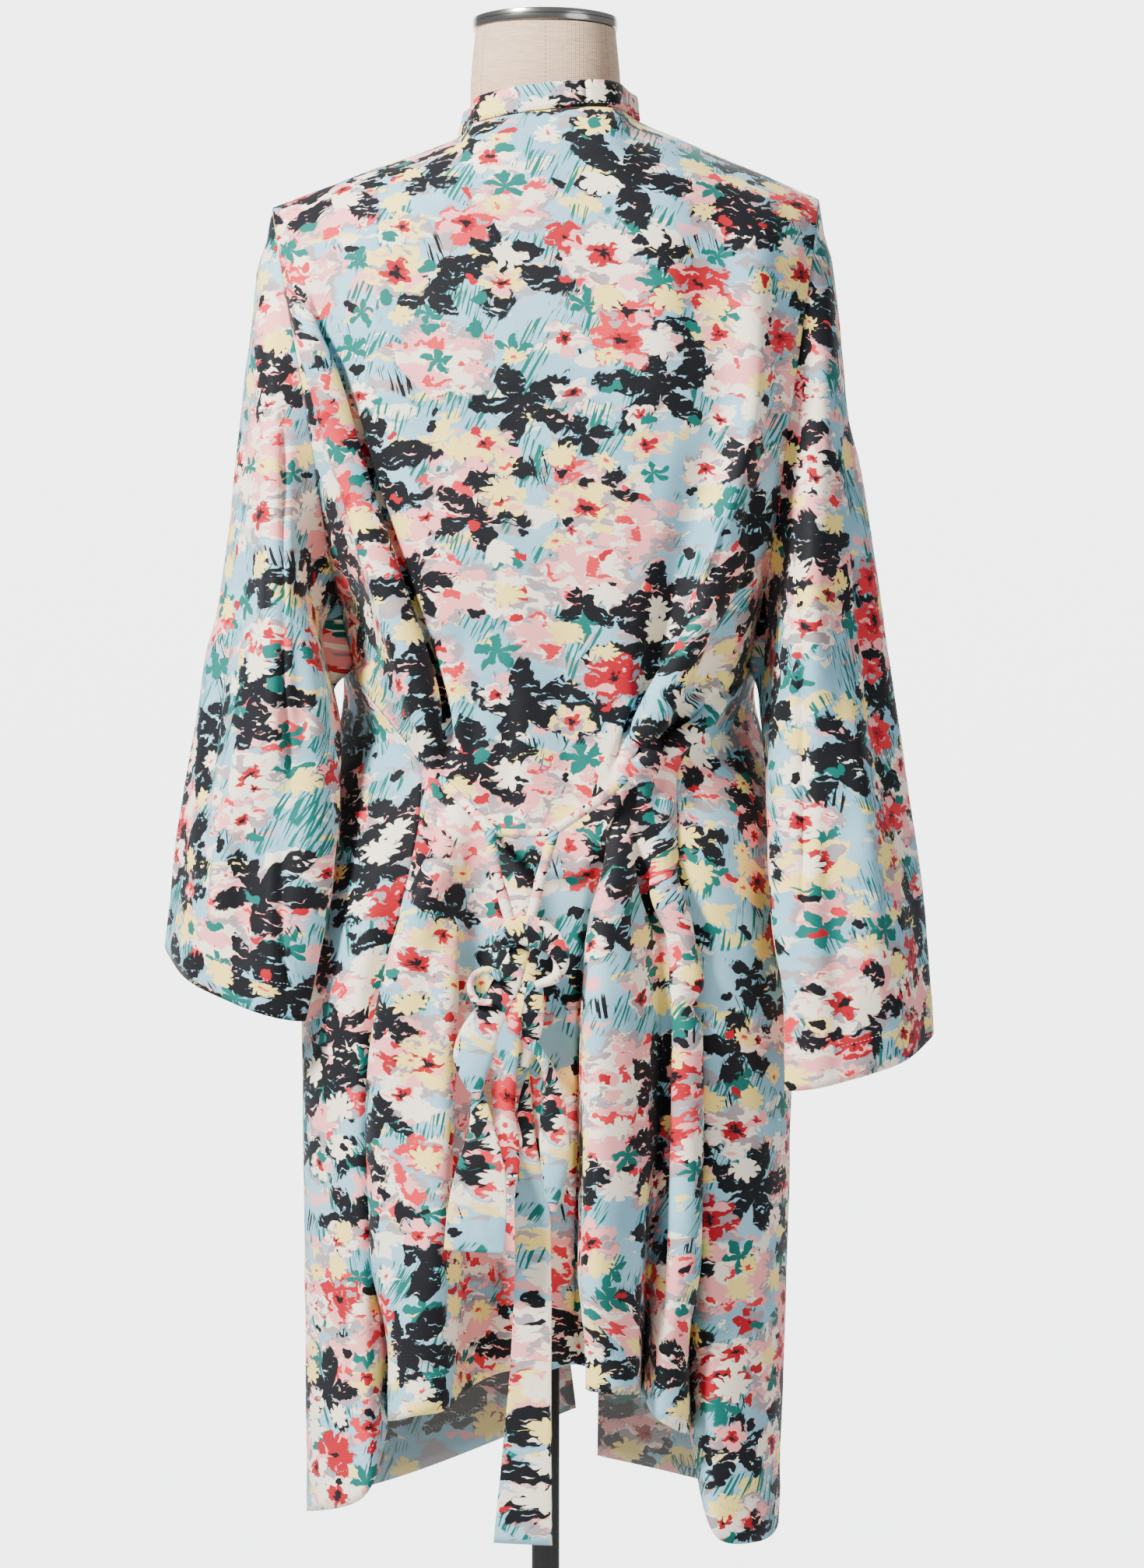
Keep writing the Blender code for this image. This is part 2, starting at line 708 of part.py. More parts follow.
def build_form(linen, collection):
    """Smooth limbless torso with a neck."""
    vertices, faces = [], []
    for z, half, back, front in FORM_SECTIONS:
        for k in range(FORM_SIDES):
            angle = 2 * math.pi * k / FORM_SIDES
            s, c = math.sin(angle), math.cos(angle)
            power = 2 / FORM_POWER
            x = half * math.copysign(abs(s) ** power, s)
            y = (back if c > 0 else front) * -math.copysign(abs(c) ** power, c)
            vertices.append((x * MM, y * MM, z * MM))
    for i in range(len(FORM_SECTIONS) - 1):
        for k in range(FORM_SIDES):
            a, b = i * FORM_SIDES + k, i * FORM_SIDES + (k + 1) % FORM_SIDES
            faces.append((a, b, b + FORM_SIDES, a + FORM_SIDES))
    last = (len(FORM_SECTIONS) - 1) * FORM_SIDES
    faces.append(tuple(range(FORM_SIDES)))
    faces.append(tuple(range(last, last + FORM_SIDES)))
    mesh_object("form_torso", vertices, faces, linen, collection)


def turned(name, profile, material, collection):
    """Turned piece from an outline of radius and height, run from top to bottom."""
    mesh = bpy.data.meshes.new(name)
    mesh.from_pydata([(r, 0, z) for r, z in profile], [(i, i + 1) for i in range(len(profile) - 1)], [])
    item = bpy.data.objects.new(name, mesh)
    collection.objects.link(item)
    screw = item.modifiers.new("turn", "SCREW")
    screw.steps = ROUND_SIDES
    screw.render_steps = ROUND_SIDES
    screw.use_merge_vertices = True
    screw.merge_threshold = 0.00005
    mesh.materials.append(material)
    return item


def build_stand(steel, black, collection):
    r, top = RIM_RADIUS, RIM_BASE_Z + RIM_HEIGHT
    turned("neck_rim", (
        (0, top - 2 * MM), (r - 8 * MM, top - 2 * MM), (r - 5 * MM, top), (r - 1.5 * MM, top),
        (r, top - 2 * MM), (r, RIM_BASE_Z + 2 * MM), (r - 2 * MM, RIM_BASE_Z), (0, RIM_BASE_Z),
    ), steel, collection)
    form_bottom = FORM_SECTIONS[0][0] * MM
    collar_top = form_bottom - SEAM_GAP
    collar_low = collar_top - COLLAR_HEIGHT
    turned("pole_collar", (
        (0, collar_top), (COLLAR_RADIUS, collar_top), (COLLAR_RADIUS, collar_low + 3 * MM),
        (COLLAR_RADIUS - 3 * MM, collar_low), (0, collar_low),
    ), black, collection)
    socket_top = BASE_HEIGHT + SOCKET_HEIGHT
    turned("stand_pole", (
        (0, collar_low - SEAM_GAP), (POLE_RADIUS, collar_low - SEAM_GAP),
        (POLE_RADIUS, socket_top + SEAM_GAP), (0, socket_top + SEAM_GAP),
    ), black, collection)
    turned("stand_base", (
        (0, socket_top), (SOCKET_RADIUS - 2 * MM, socket_top), (SOCKET_RADIUS, socket_top - 2 * MM),
        (SOCKET_RADIUS + 2 * MM, BASE_HEIGHT + 6 * MM), (SOCKET_RADIUS + 8 * MM, BASE_HEIGHT),
        (BASE_RADIUS - 5 * MM, BASE_HEIGHT), (BASE_RADIUS - 1 * MM, BASE_HEIGHT - 3 * MM),
        (BASE_RADIUS, BASE_HEIGHT - 5 * MM), (BASE_RADIUS, 1 * MM), (BASE_RADIUS - 1 * MM, 0), (0, 0),
    ), black, collection)


def main():
    clear_scene()
    collection = make_collection("kimono_jacket_on_form")
    cloth = make_material("printed_cloth", (0.40, 0.54, 0.62), 0.62)
    linen = make_material("form_linen", (0.66, 0.58, 0.48), 0.85)
    steel = make_material("rim_metal", (0.72, 0.72, 0.72), 0.22, 1.0)
    black = make_material("stand_black", (0.02, 0.02, 0.022), 0.4)
    back, left, right = build_jacket(cloth, collection)
    build_neckband(cloth, collection, back, left, right)
    for name, rows in STRIPS.items():
        build_strip(name, rows, cloth, collection)
    build_form(linen, collection)
    build_stand(steel, black, collection)


main()
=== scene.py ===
"""Looks of a kimono jacket with a bow at the back, on a limbless dress form.

Metres, +Z up. The jacket's back faces -Y. Lengths in tables are in millimetres.
The cloth repeats the frame's own sections and lines, sampled finer, and adds creases.
"""

import math

import bmesh
import bpy
import numpy as np
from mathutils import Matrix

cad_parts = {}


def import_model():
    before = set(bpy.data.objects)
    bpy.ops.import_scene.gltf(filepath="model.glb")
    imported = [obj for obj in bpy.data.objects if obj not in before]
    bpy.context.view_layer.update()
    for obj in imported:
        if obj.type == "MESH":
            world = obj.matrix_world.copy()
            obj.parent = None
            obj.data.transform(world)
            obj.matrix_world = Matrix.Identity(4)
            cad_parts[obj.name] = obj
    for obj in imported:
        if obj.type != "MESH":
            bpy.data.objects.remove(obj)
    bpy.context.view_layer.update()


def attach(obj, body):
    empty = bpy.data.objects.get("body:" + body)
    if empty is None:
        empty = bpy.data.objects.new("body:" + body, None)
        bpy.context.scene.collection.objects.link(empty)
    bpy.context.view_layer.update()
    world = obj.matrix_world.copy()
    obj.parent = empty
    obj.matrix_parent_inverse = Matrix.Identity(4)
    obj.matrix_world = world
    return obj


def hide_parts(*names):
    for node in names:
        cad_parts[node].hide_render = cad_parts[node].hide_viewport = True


MM = 0.001

# Cloth of the visible jacket
CLOTH = 0.9 * MM
SEAM_GAP = 0.4 * MM
HEM_DEPTH = 27 * MM
HEM_EXTRA = 0.7 * MM

# Finer sampling of the frame's rows, columns and rings
ROW_STEPS = 8
COLUMN_STEPS = 11
RING_STEPS = 6

# Heights of the named levels of the jacket's body
CHEST_Z = 1.275
TOP_Z = CHEST_Z + 0.15
UNDERARM_Z = 1.085
WAIST_Z = 1.002
HIP_Z = 0.830
LOW_Z = 0.560
INNER_LEVELS = (CHEST_Z, UNDERARM_Z, WAIST_Z, HIP_Z)
ROWS_PER_LEVEL = (6, 4, 3, 4, 5)
CROWDING = 2.2

# Shoulder and back neck line: x, y, z
TOP_EDGE = (
    (-196, 0, 1414),
    (-130, 0, 1438),
    (-62.5, -4, 1463),
    (-60, -32, 1465),
    (-49, -53, 1467),
    (-5, -70, 1473),
    (46, -59, 1477),
    (62, -34, 1476),
    (67, -4, 1474),
    (130, 0, 1447),
    (196, 0, 1420),
)
SHOULDER_ROUND = 70 * MM

# Horizontal sections of the jacket before its folds:
# z, centre x, half width, depth at the back, depth at the front
BODY_SECTIONS = (
    (1480, 0, 204, 98, 90),
    (1360, 0, 200, 106, 112),
    (1275, 1, 192, 113, 128),
    (1180, 3, 166, 112, 136),
    (1085, 4, 142, 103, 122),
    (1002, 3, 137, 97, 106),
    (915, 2, 158, 110, 110),
    (830, 2, 170, 117, 112),
    (740, 2, 172, 117, 112),
    (560, 2, 170, 108, 112),
    (440, 2, 170, 104, 112),
)
SECTION_POWER = 2.5

# Ridges and troughs of the back, from the left side seam to the right one
BACK_LINES = (
    # name, x (top, chest, underarm, waist, hip, hem), lift (chest to hem), hem z
    ("side_seam_left", (-196, -170, -138, -86, -114, -109), (0, 0, 0, -10, -34), 556),
    ("left_roll_ridge", (-183, -157, -99, -78, -104, -106), (16, 19, 7, 16, 20), 558),
    ("left_roll_trough", (-160, -143, -83, -69, -88, -88), (-4, -4, 4, 25, 30), 564),
    ("left_panel_edge", (-125, -112, -68, -59, -66, -72), (2, 2, 5, 17, 22), 566),
    ("left_recess", (-92, -80, -52, -48, -50, -50), (2, 2, 3, 0, -34), 578),
    ("centre_left", (-62.5, -54, -36, -34, -30, -26), (0, 2, 1, 0, -24), 589),
    ("centre_crease", (-49, -24, -22, -20, -9, 0), (-2, 4, 4, 5, -18), 590),
    ("centre_right", (-5, 5, 4, 6, 12, 20), (0, 1, 0, 1, -22), 594),
    ("right_recess", (46, 35, 30, 32, 34, 37), (0, 1, 2, -1, -28), 588),
    ("right_panel_edge", (67, 62, 48, 45, 35, 30), (2, 2, 5, 20, 22), 582),
    ("right_panel_middle", (94, 90, 62, 53, 52, 47), (2, 2, 6, 28, 30), 580),
    ("right_roll_trough", (124, 122, 76, 62, 69, 62), (-3, -6, 4, 16, 18), 578),
    ("right_roll_ridge", (150, 147, 92, 70, 81, 68), (12, 21, 8, -2, -34), 574),
    ("second_roll_trough", (170, 160, 112, 78, 88, 78), (2, -2, 3, 13, 14), 560),
    ("second_roll_ridge", (184, 168, 130, 85, 96, 97), (2, 9, 6, 9, 10), 548),
    ("side_seam_right", (196, 175, 146, 92, 99, 102), (0, 0, 0, -8, -32), 545),
)
LEFT_NECK_LINE = 5
RIGHT_NECK_LINE = 9
CENTRE_LINE = 7

# Lines of the fronts from the side seam to the front edge
FRONT_LEFT_LINES = (
    # name, x (chest, underarm, waist, hip, hem), y at the same levels, hem z
    ("armhole", (-170, -138, -86, -114, -109), (83, 0, -88, -86, -60), 556),
    ("side_fold", (-155, -147, -118, -132, -124), (98, 34, -66, -98, -92), 505),
    ("side", (-132, -142, -156, -172, -168), (110, 78, 4, -36, -30), 482),
    ("hip_front", (-106, -112, -128, -152, -150), (120, 103, 58, 62, 58), 480),
    ("bust", (-76, -78, -86, -98, -92), (127, 121, 94, 102, 100), 492),
    ("front_edge", (-46, -34, -32, -14, 22), (129, 127, 105, 113, 118), 535),
)
FRONT_RIGHT_LINES = (
    # the same columns
    ("armhole", (175, 146, 92, 99, 102), (83, 0, -88, -90, -62), 545),
    ("side_fold", (164, 152, 116, 116, 120), (94, 28, -72, -104, -94), 474),
    ("side_back", (150, 152, 146, 154, 150), (102, 60, -38, -78, -74), 468),
    ("side", (130, 144, 164, 176, 166), (111, 92, 24, -14, -18), 474),
    ("hip_front", (106, 112, 132, 152, 148), (120, 110, 72, 66, 62), 480),
    ("bust", (80, 80, 88, 96, 98), (127, 121, 98, 104, 102), 488),
    ("front_edge", (52, 46, 46, 42, 38), (129, 127, 105, 113, 119), 499),
)

# Sections of the sleeves
LEFT_SLEEVE_SECTIONS = (
    # place along it, outer fold x y z, inner fold x y z, depth of back layer, of front layer
    (0.00, -196, 0, 1414, -138, 0, 1085, 84, 84),
    (0.16, -208, 0, 1345, -152, -14, 1066, 84, 84),
    (0.32, -219, 2, 1270, -145, -40, 1036, 80, 76),
    (0.52, -229, 6, 1160, -145, -66, 990, 62, 46),
    (0.72, -243, 12, 1050, -149, -86, 932, 54, 26),
    (0.87, -255, 16, 970, -156, -92, 884, 50, 12),
    (1.00, -262, 20, 890, -168, -88, 834, 48, 10),
)
RIGHT_SLEEVE_SECTIONS = (
    # the same columns
    (0.00, 196, 0, 1420, 146, 0, 1085, 84, 84),
    (0.16, 207, 0, 1350, 153, -14, 1066, 84, 84),
    (0.32, 217, 2, 1268, 155, -38, 1032, 80, 76),
    (0.52, 234, 6, 1150, 158, -66, 972, 62, 46),
    (0.72, 248, 12, 1035, 160, -88, 902, 54, 26),
    (0.87, 260, 16, 930, 167, -96, 845, 50, 12),
    (1.00, 268, 20, 826, 168, -98, 786, 48, 10),
)
SLEEVE_RINGS = 15
SLEEVE_BLEND = 0.5
SLEEVE_TURN = math.radians(44)
TURN_START = 0.3

# Long folds of a sleeve
SLEEVE_FOLDS = (
    # degrees from the outer fold over the back, half width in degrees, height,
    # start and end along the sleeve
    (60, 18, -6, 0.15, 1.1),
    (95, 16, 7, 0.2, 1.2),
    (128, 17, -9, 0.35, 0.95),
    (215, 22, -7, 0.3, 1.2),
    (260, 22, 7, 0.2, 1.2),
    (305, 20, -6, 0.25, 1.1),
)

# A crease with a steep side: place and half width of its ridge and of its drop, as shares
STEEP_RIDGE = (-0.6, 0.8)
STEEP_DROP = (0.35, 0.3)
CREASE_ENDS = 0.18
CREASE_STEPS = 6

# Ripples of the cloth: length, height
CLOTH_RIPPLES = ((0.07, 0.5 * MM), (0.025, 0.14 * MM))
BAND_RIPPLE = (0.05, 0.5 * MM)
BELT_RIPPLE = (0.012, 0.22 * MM)
RIPPLE_WAVES = 7
RIPPLE_HEADINGS = (1.0, 1.0, 0.45)
RIPPLE_SIZES = (0.6, 1.6)

# Distance from a seam over which creases fade in
EDGE_REACH = 14 * MM

# Depths between which the fronts' creases begin
FRONT_FACING = (-0.02, 0.03)

# Neckband
BAND_WIDTH = 19 * MM
BAND_STANDS_OFF = 0.8 * MM
BAND_WALL = 2.4 * MM
BAND_ROWS = 9
BAND_END_Z = 1.14
BAND_TAPER = 0.07
BAND_END_SHARE = 0.12
BAND_SEAM_X = 27.7 * MM
BAND_LIES_FLAT = 0.10
BAND_LEAN = 0.1

# Creases seen from behind and from the front: each has its points x, z, then half
# width, height (a trough is below 0) and the side of its steep drop (0 has none)
BACK_CREASES = (
    (((-175, 1361), (-145, 1275), (-125, 1207), (-104, 1144), (-78, 1062), (-66, 1004)), 12, 12, 1),
    (((-178, 1343), (-160, 1242), (-144, 1199), (-130, 1125), (-112, 1070)), 8, -5, 0),
    (((133, 1192), (123, 1152), (103, 1117), (75, 1062), (61, 1034), (47, 998)), 11, 10, -1),
    (((122, 1190), (108, 1150), (88, 1110), (62, 1058)), 8, -5, 0),
    (((140, 1068), (112, 1050), (92, 1036), (52, 1006)), 9, 8, -1),
    (((-25, 1085), (-25, 1010), (-23, 950)), 7, -3, 0),
    (((-60, 1120), (-50, 1050), (-52, 1010)), 8, -2.5, 0),
    (((10, 1110), (14, 1050), (20, 985)), 9, -2.5, 0),
    (((-68, 1004), (-40, 990), (-10, 984)), 6, -2.5, 0),
    (((48, 1003), (24, 988), (-4, 982)), 6, -2.5, 0),
    (((-60, 1400), (-30, 1340), (-20, 1260)), 16, 1.8, 0),
    (((60, 1410), (84, 1340), (90, 1250)), 18, 1.8, 0),
    (((-110, 1400), (-92, 1320), (-78, 1230), (-66, 1140)), 14, -2, 0),
    (((112, 1405), (100, 1310), (74, 1200), (62, 1120)), 14, -2, 0),
    (
        ((-67, 996), (-74, 966), (-88, 927), (-102, 880), (-115, 812), (-122, 712), (-124, 600)),
        14, 14, -1,
    ),
    (((49, 996), (43, 946), (36, 900), (33, 830), (32, 740), (29, 590)), 13, 14, -1),
    (((60, 985), (72, 935), (88, 885), (90, 800), (88, 700), (84, 600)), 12, 12, -1),
    (((84, 880), (100, 850), (121, 804), (132, 755), (134, 670)), 12, 9, -1),
    (((-46, 960), (-42, 880), (-40, 720), (-38, 610)), 11, -7, 0),
    (((-14, 930), (-6, 760), (2, 610)), 13, 5, 0),
    (((-60, 900), (-64, 780), (-72, 620)), 12, 8, 1),
    (((60, 900), (58, 800), (56, 680)), 8, 2.5, 0),
)
FRONT_CREASES = (
    (((-130, 1330), (-116, 1240), (-104, 1150), (-96, 1060)), 10, -4, 0),
    (((-100, 1360), (-90, 1260), (-84, 1150), (-92, 1020)), 12, 4, 1),
    (((-60, 1200), (-66, 1080), (-80, 980)), 10, -3.5, 0),
    (((-140, 1010), (-110, 960), (-60, 930)), 8, 4, 1),
    (((-140, 900), (-130, 760), (-124, 620)), 10, -4.5, 0),
    (((-100, 880), (-84, 740), (-70, 600)), 11, 4.5, 1),
    (((-50, 860), (-40, 720), (-20, 600)), 10, -3, 0),
    (((128, 1330), (118, 1230), (108, 1130), (100, 1040)), 10, -4, 0),
    (((96, 1360), (88, 1250), (84, 1140), (92, 1010)), 12, 4, -1),
    (((62, 1190), (68, 1070), (80, 970)), 10, -3.5, 0),
    (((140, 1000), (112, 955), (70, 925)), 8, 4, 1),
    (((140, 890), (132, 750), (126, 600)), 10, -4.5, 0),
    (((100, 870), (92, 730), (88, 580)), 11, 4.5, -1),
    (((60, 850), (56, 710), (52, 590)), 10, -3, 0),
)
LEFT_SLEEVE_CREASES = (
    (((-187, 1270), (-186, 1168), (-185, 1062), (-179, 990)), 9, 4.5, 1),
    (((-175, 1157), (-172, 1086), (-168, 1030)), 7, -4, 0),
    (((-208, 1300), (-214, 1180), (-222, 1060)), 9, -3, 0),
    (((-228, 1120), (-238, 1010), (-246, 930)), 9, 3.5, 1),
    (((-206, 1010), (-212, 930), (-214, 868)), 9, -4, 0),
    (((-186, 960), (-186, 900), (-182, 850)), 8, 4, 1),
    (((-200, 1390), (-196, 1330), (-188, 1270)), 12, 3, 0),
)
RIGHT_SLEEVE_CREASES = (
    (((178, 1150), (182, 1060), (184, 980), (182, 905)), 9, 4.5, -1),
    (((229, 1081), (243, 921), (250, 820)), 8, -5, 0),
    (((216, 1270), (224, 1150), (234, 1040)), 10, 3.5, -1),
    (((204, 1180), (208, 1060), (214, 940)), 9, -3, 0),
    (((200, 930), (206, 850), (206, 780)), 9, -4, 0),
    (((176, 1060), (178, 960), (176, 860)), 8, -3, 0),
    (((200, 1395), (200, 1335), (194, 1270)), 12, 3, 0),
)

# Belt strips of the ties and the bow: each row x, y, z, width, thickness
STRIPS = {
    "tie_left": (
        (-73, -96.2, 1004, 7, 5),
        (-60, -111, 991, 8, 5),
        (-48, -123, 979, 8, 6),
        (-35, -130.6, 966, 8, 6),
    ),
    "tie_right": (
        (56, -102.7, 1004, 7, 5),
        (42, -116, 992, 8, 5),
        (26, -124, 981, 8, 6),
        (4, -130.5, 966, 8, 6),
    ),
    "knot_strip": (
        (-40, -136.8, 967, 7, 6),
        (-17, -137, 966, 7, 6),
        (9, -136.8, 967, 7, 6),
    ),
    "strand_left": (
        (-38, -143.2, 968, 8, 6),
        (-34, -144, 944, 9, 7),
        (-23, -145.4, 902, 8, 7),
    ),
    "strand_right": (
        (7, -143.2, 968, 8, 6),
        (-1, -144, 942, 8, 7),
        (-11, -145.6, 902, 8, 7),
    ),
    "bow_loop": (
        (-31, -152, 893, 12, 7),
        (-20, -153, 899, 20, 7),
        (-3, -153, 897, 21, 7),
        (11, -153, 884, 14, 7),
        (9, -152, 869, 9, 7),
        (-6, -151, 862, 7, 6),
    ),
    "bow_tongue": (
        (-13, -146.7, 895, 12, 5),
        (-24, -147, 868, 19, 6),
        (-34, -149, 847, 21, 7),
        (-44, -151, 830, 26, 8),
        (-49, -153, 812, 27, 8),
        (-48, -154, 796, 16, 6),
        (-46, -153, 784, 4, 4),
    ),
    "bow_small_loop": (
        (-30, -155, 866, 5, 6),
        (-38, -155, 873, 6, 6),
        (-47, -155, 870, 6, 6),
        (-51, -155, 861, 6, 6),
        (-47, -155, 852, 6, 6),
        (-36, -156.1, 850, 6, 6),
    ),
    "bow_back_band": (
        (-6, -145.2, 864, 11, 5),
        (-8, -141, 843, 16, 5),
        (-9, -137, 830, 15, 5),
        (-12, -133, 814, 9, 5),
        (-14, -132.5, 805, 7, 5),
    ),
    "long_loop": (
        (-9, -141.4, 822, 8, 7),
        (2, -140, 806, 9, 8),
        (6, -139, 790, 13, 9),
        (6, -140, 768, 20, 11),
        (7, -140, 740, 20, 11),
        (6, -139, 718, 12, 8),
        (6, -138, 706, 5, 5),
    ),
    "long_tail": (
        (-15, -126.4, 814, 8, 6),
        (-14, -127, 775, 13, 6),
        (-11, -127, 748, 13, 6),
        (-9, -127, 715, 24, 4),
        (-8, -127, 660, 26, 3),
        (-10, -127, 585, 30, 3),
        (-13, -127, 520, 36, 3),
        (-15, -127, 475, 41, 3),
    ),
    "short_tail": (
        (-45, -147.8, 789, 9, 4),
        (-43, -151.2, 762, 20, 5),
        (-44, -155, 732, 35, 4),
        (-47, -157, 695, 42, 3),
        (-48, -157, 680, 41, 3),
    ),
}

# The belt is a strip this wide, rolled or cupped to the section of each row
BELT_WIDTH = 41 * MM
BELT_CLOTH = 0.6 * MM
BELT_TURN_GAP = 0.8 * MM
BELT_CORE = 0.3
BELT_LEAST_TURNS = 0.4
BELT_MOST_TURNS = 3.3
BELT_HALVINGS = 24
BELT_SIDES = 40
BELT_STEPS = 8

# Levels at which a sleeve's round is measured for the print, and the easing between them
SLICES = 24
SLICE_EASE = (1, 2, 3, 2, 1)

# Dress form: z, half width, depth at the back, depth at the front
FORM_SECTIONS = (
    (748, 162, 106, 98),
    (790, 164, 108, 100),
    (830, 160, 108, 100),
    (880, 150, 102, 97),
    (940, 134, 92, 92),
    (1002, 124, 86, 92),
    (1060, 128, 90, 102),
    (1120, 138, 97, 116),
    (1180, 152, 102, 124),
    (1240, 166, 104, 120),
    (1300, 178, 102, 108),
    (1350, 184, 94, 94),
    (1385, 188, 74, 74),
    (1405, 187, 48, 52),
    (1412, 184, 34, 38),
    (1420, 174, 30, 34),
    (1437.2, 127, 34, 36),
    (1450.6, 88, 38, 40),
    (1459.5, 60, 44, 44),
    (1475, 54, 54, 52),
    (1497, 54, 54, 53),
    (1541, 50.5, 50.5, 50.5),
)
FORM_POWER = 2.2
FORM_SIDES = 128
FORM_ROWS = 150

# Two thirds of the form's rows lie below this height
FORM_ROWS_Z = 1.38

# Seams of the form, as shares of the way round
FORM_SEAMS = (0, 1 / 2, 5 / 32, 27 / 32)

# Turned pieces: radius, height
RIM_PROFILE = (
    (0, 1548.3), (44.5, 1548.3), (47.5, 1550.3), (51, 1550.3), (52.2, 1549.6),
    (52.5, 1548.3), (52.5, 1546.6), (52.0, 1546.3), (52.5, 1546.0), (52.5, 1543.3),
    (52.0, 1541.9), (50.5, 1541.3), (0, 1541.3),
)
COLLAR_PROFILE = (
    (0, 747.6), (21, 747.6), (22, 746.6), (22, 721), (21.2, 718.8), (19, 717.6), (0, 717.6),
)
POLE_PROFILE = ((0, 717.2), (10, 717.2), (10, 38.4), (0, 38.4))
BASE_PROFILE = (
    (0, 38), (14, 38), (15.5, 37.4), (16, 36), (16.4, 22), (18, 16), (21, 12), (26, 10),
    (154, 10), (157, 9.4), (159, 7.4), (160, 5), (160, 1), (159, 0), (0, 0),
)
TURNED_SIDES = 128

# Colours of the print and the other finishes, as seen
GROUND = (148, 196, 214)
GROUND_DEEP = (130, 180, 200)
CHARCOAL = (13, 15, 21)
CORAL = (210, 46, 58)
RED = (172, 16, 34)
PINK = (250, 164, 162)
CREAM = (250, 238, 216)
YELLOW = (252, 226, 130)
TAUPE = (160, 146, 150)
TEAL = (6, 102, 94)
WRONG_SIDE = (140, 141, 138)
LINEN = (226, 194, 164)
LINEN_DARK = (190, 158, 130)
METAL = (148, 146, 143)
METAL_BRIGHT = (172, 170, 167)
BLACK = (24, 24, 26)
BLACK_WORN = (34, 34, 36)
FLOOR = (222, 222, 222)
FLOOR_LIGHT = (230, 230, 230)
THREAD = (206, 216, 220)
OVERLOCK = (226, 226, 220)

# Threads
STITCH_PITCH = 3.2 * MM
STITCH_LENGTH = 2.3 * MM
STITCH_RADIUS = 0.28 * MM
OVERLOCK_PITCH = 1.6 * MM
OVERLOCK_WIDTH = 4.5 * MM
OVERLOCK_RADIUS = 0.3 * MM

# Hem threads: below and above the turned-up edge, and off the cloth's middle
STITCH_BELOW = 2 * MM
RAW_ABOVE = 1 * MM
STITCH_LIFT = 0.85 * MM
OVERLOCK_LIFT = 0.65 * MM

# Thickness of the neckband across its width, as a share: seam, fold line and fold
BAND_PROFILE = (0.55, 0.95, 1.0, 0.96, 0.72, 0.96, 1.0, 0.92, 0.5)

# Pieces with their own place on the printed cloth
PRINTED = (
    "back_panel", "front_left", "front_right", "sleeve_left", "sleeve_right", "band", "belt",
)

# Studio
BACKDROP_LOW = (236, 238, 241)
BACKDROP_HIGH = (248, 249, 250)
BACKDROP_STRENGTH = 5.0
BACKDROP_RISE = 0.25
AMBIENT = 0.42

# The backdrop glows round the direction +Y, and fades between these angles
BACKDROP_NARROW = math.radians(14)
BACKDROP_WIDE = math.radians(40)
FLOOR_RADIUS = 1.9
FLOOR_Z = -0.0005
LIGHTS = (
    # name, place, aimed at, size, power, colour
    ("key", (-1.7, -1.7, 2.75), (0, 0, 1.4), 0.5, 290, (1.0, 0.985, 0.965)),
    ("fill", (2.2, -1.8, 1.4), (0, 0, 1.3), 1.8, 20, (0.96, 0.98, 1.0)),
    ("back", (0.6, 2.4, 2.2), (0, 0, 1.1), 1.6, 16, (1.0, 1.0, 1.0)),
)

# The print, metres. Washes: offset, lowest value, colour, strength
WASHES = (
    (3.0, 0.60, CREAM, 0.9),
    (7.0, 0.62, PINK, 0.9),
    (12.0, 0.62, YELLOW, 0.95),
    (17.0, 0.62, TAUPE, 0.9),
)

# Grass: slant in radians, colour, lowest value, lowest value of its patches
GRASSES = (
    (0.5, TEAL, 0.53, 0.53),
    (0.28, TEAL, 0.53, 0.55),
    (-0.25, CHARCOAL, 0.54, 0.62),
)

# How far the cloth's wrong side hides the print that shows through it
WRONG_SIDE_SHARE = 0.46

# Slant of the comb-like strokes that end the leaves, and strokes to a metre each way
COMB_SLANT = 0.55
COMB_SCALE = (330, 46, 1)
GRASS_SCALE = (540, 30, 1)
GRASS_PATCHES = 26
GRASS_EDGE = 0.03

# Noises of the print: how it is stretched, and waves to a metre
PRINT_STRETCH = (0.8, 1.12, 1)
WOBBLE_SCALE = 95
WOBBLE_REACH = 0.012
BRUSH_STRETCH = (0.7, 1.9, 1)
BRUSH_SCALE = 150
DABS_STRETCH = (0.8, 1.3, 1)
DABS_SCALE = 60
MARKS_OFFSET = (5.3, 2.1, 0)
MARKS_SCALE = 66
BROAD_SCALE = 14
RAGGED = 0.16
WASH_STRETCH = (0.7, 1.2, 1)
WASH_SCALE = 34
WASH_EDGE = 0.015

# Shapes: cell, shift, petals, radius, depth of the notches, sharpness, chance
BLOOMS = (
    (0.078, (0.31, 0.17), 5, 0.040, 0.3, 0.8, 0.6),
    (0.064, (0.66, 0.51), 5, 0.028, 0.35, 0.8, 0.32),
)
SPRIGS = (
    (0.042, (0.41, 0.22), 5, 0.014, 0.8, 1.0, 0.4),
)
LEAVES = (
    (0.076, (0.05, 0.42), 5, 0.043, 0.8, 1.2, 0.6),
    (0.049, (0.77, 0.13), 4, 0.026, 0.8, 1.1, 0.48),
)
FLOWERS = (
    (0.062, (0.23, 0.61), 6, 0.024, 0.4, 0.7, 0.46),
    (0.043, (0.51, 0.39), 5, 0.015, 0.45, 0.7, 0.36),
)
DAISIES = ((0.029, (0.9, 0.27), 9, 0.0115, 0.45, 0.8, 0.4),)
BUDS = (0.024, (0.14, 0.83), 2, 0.0052, 0.45, 0.8, 0.3)

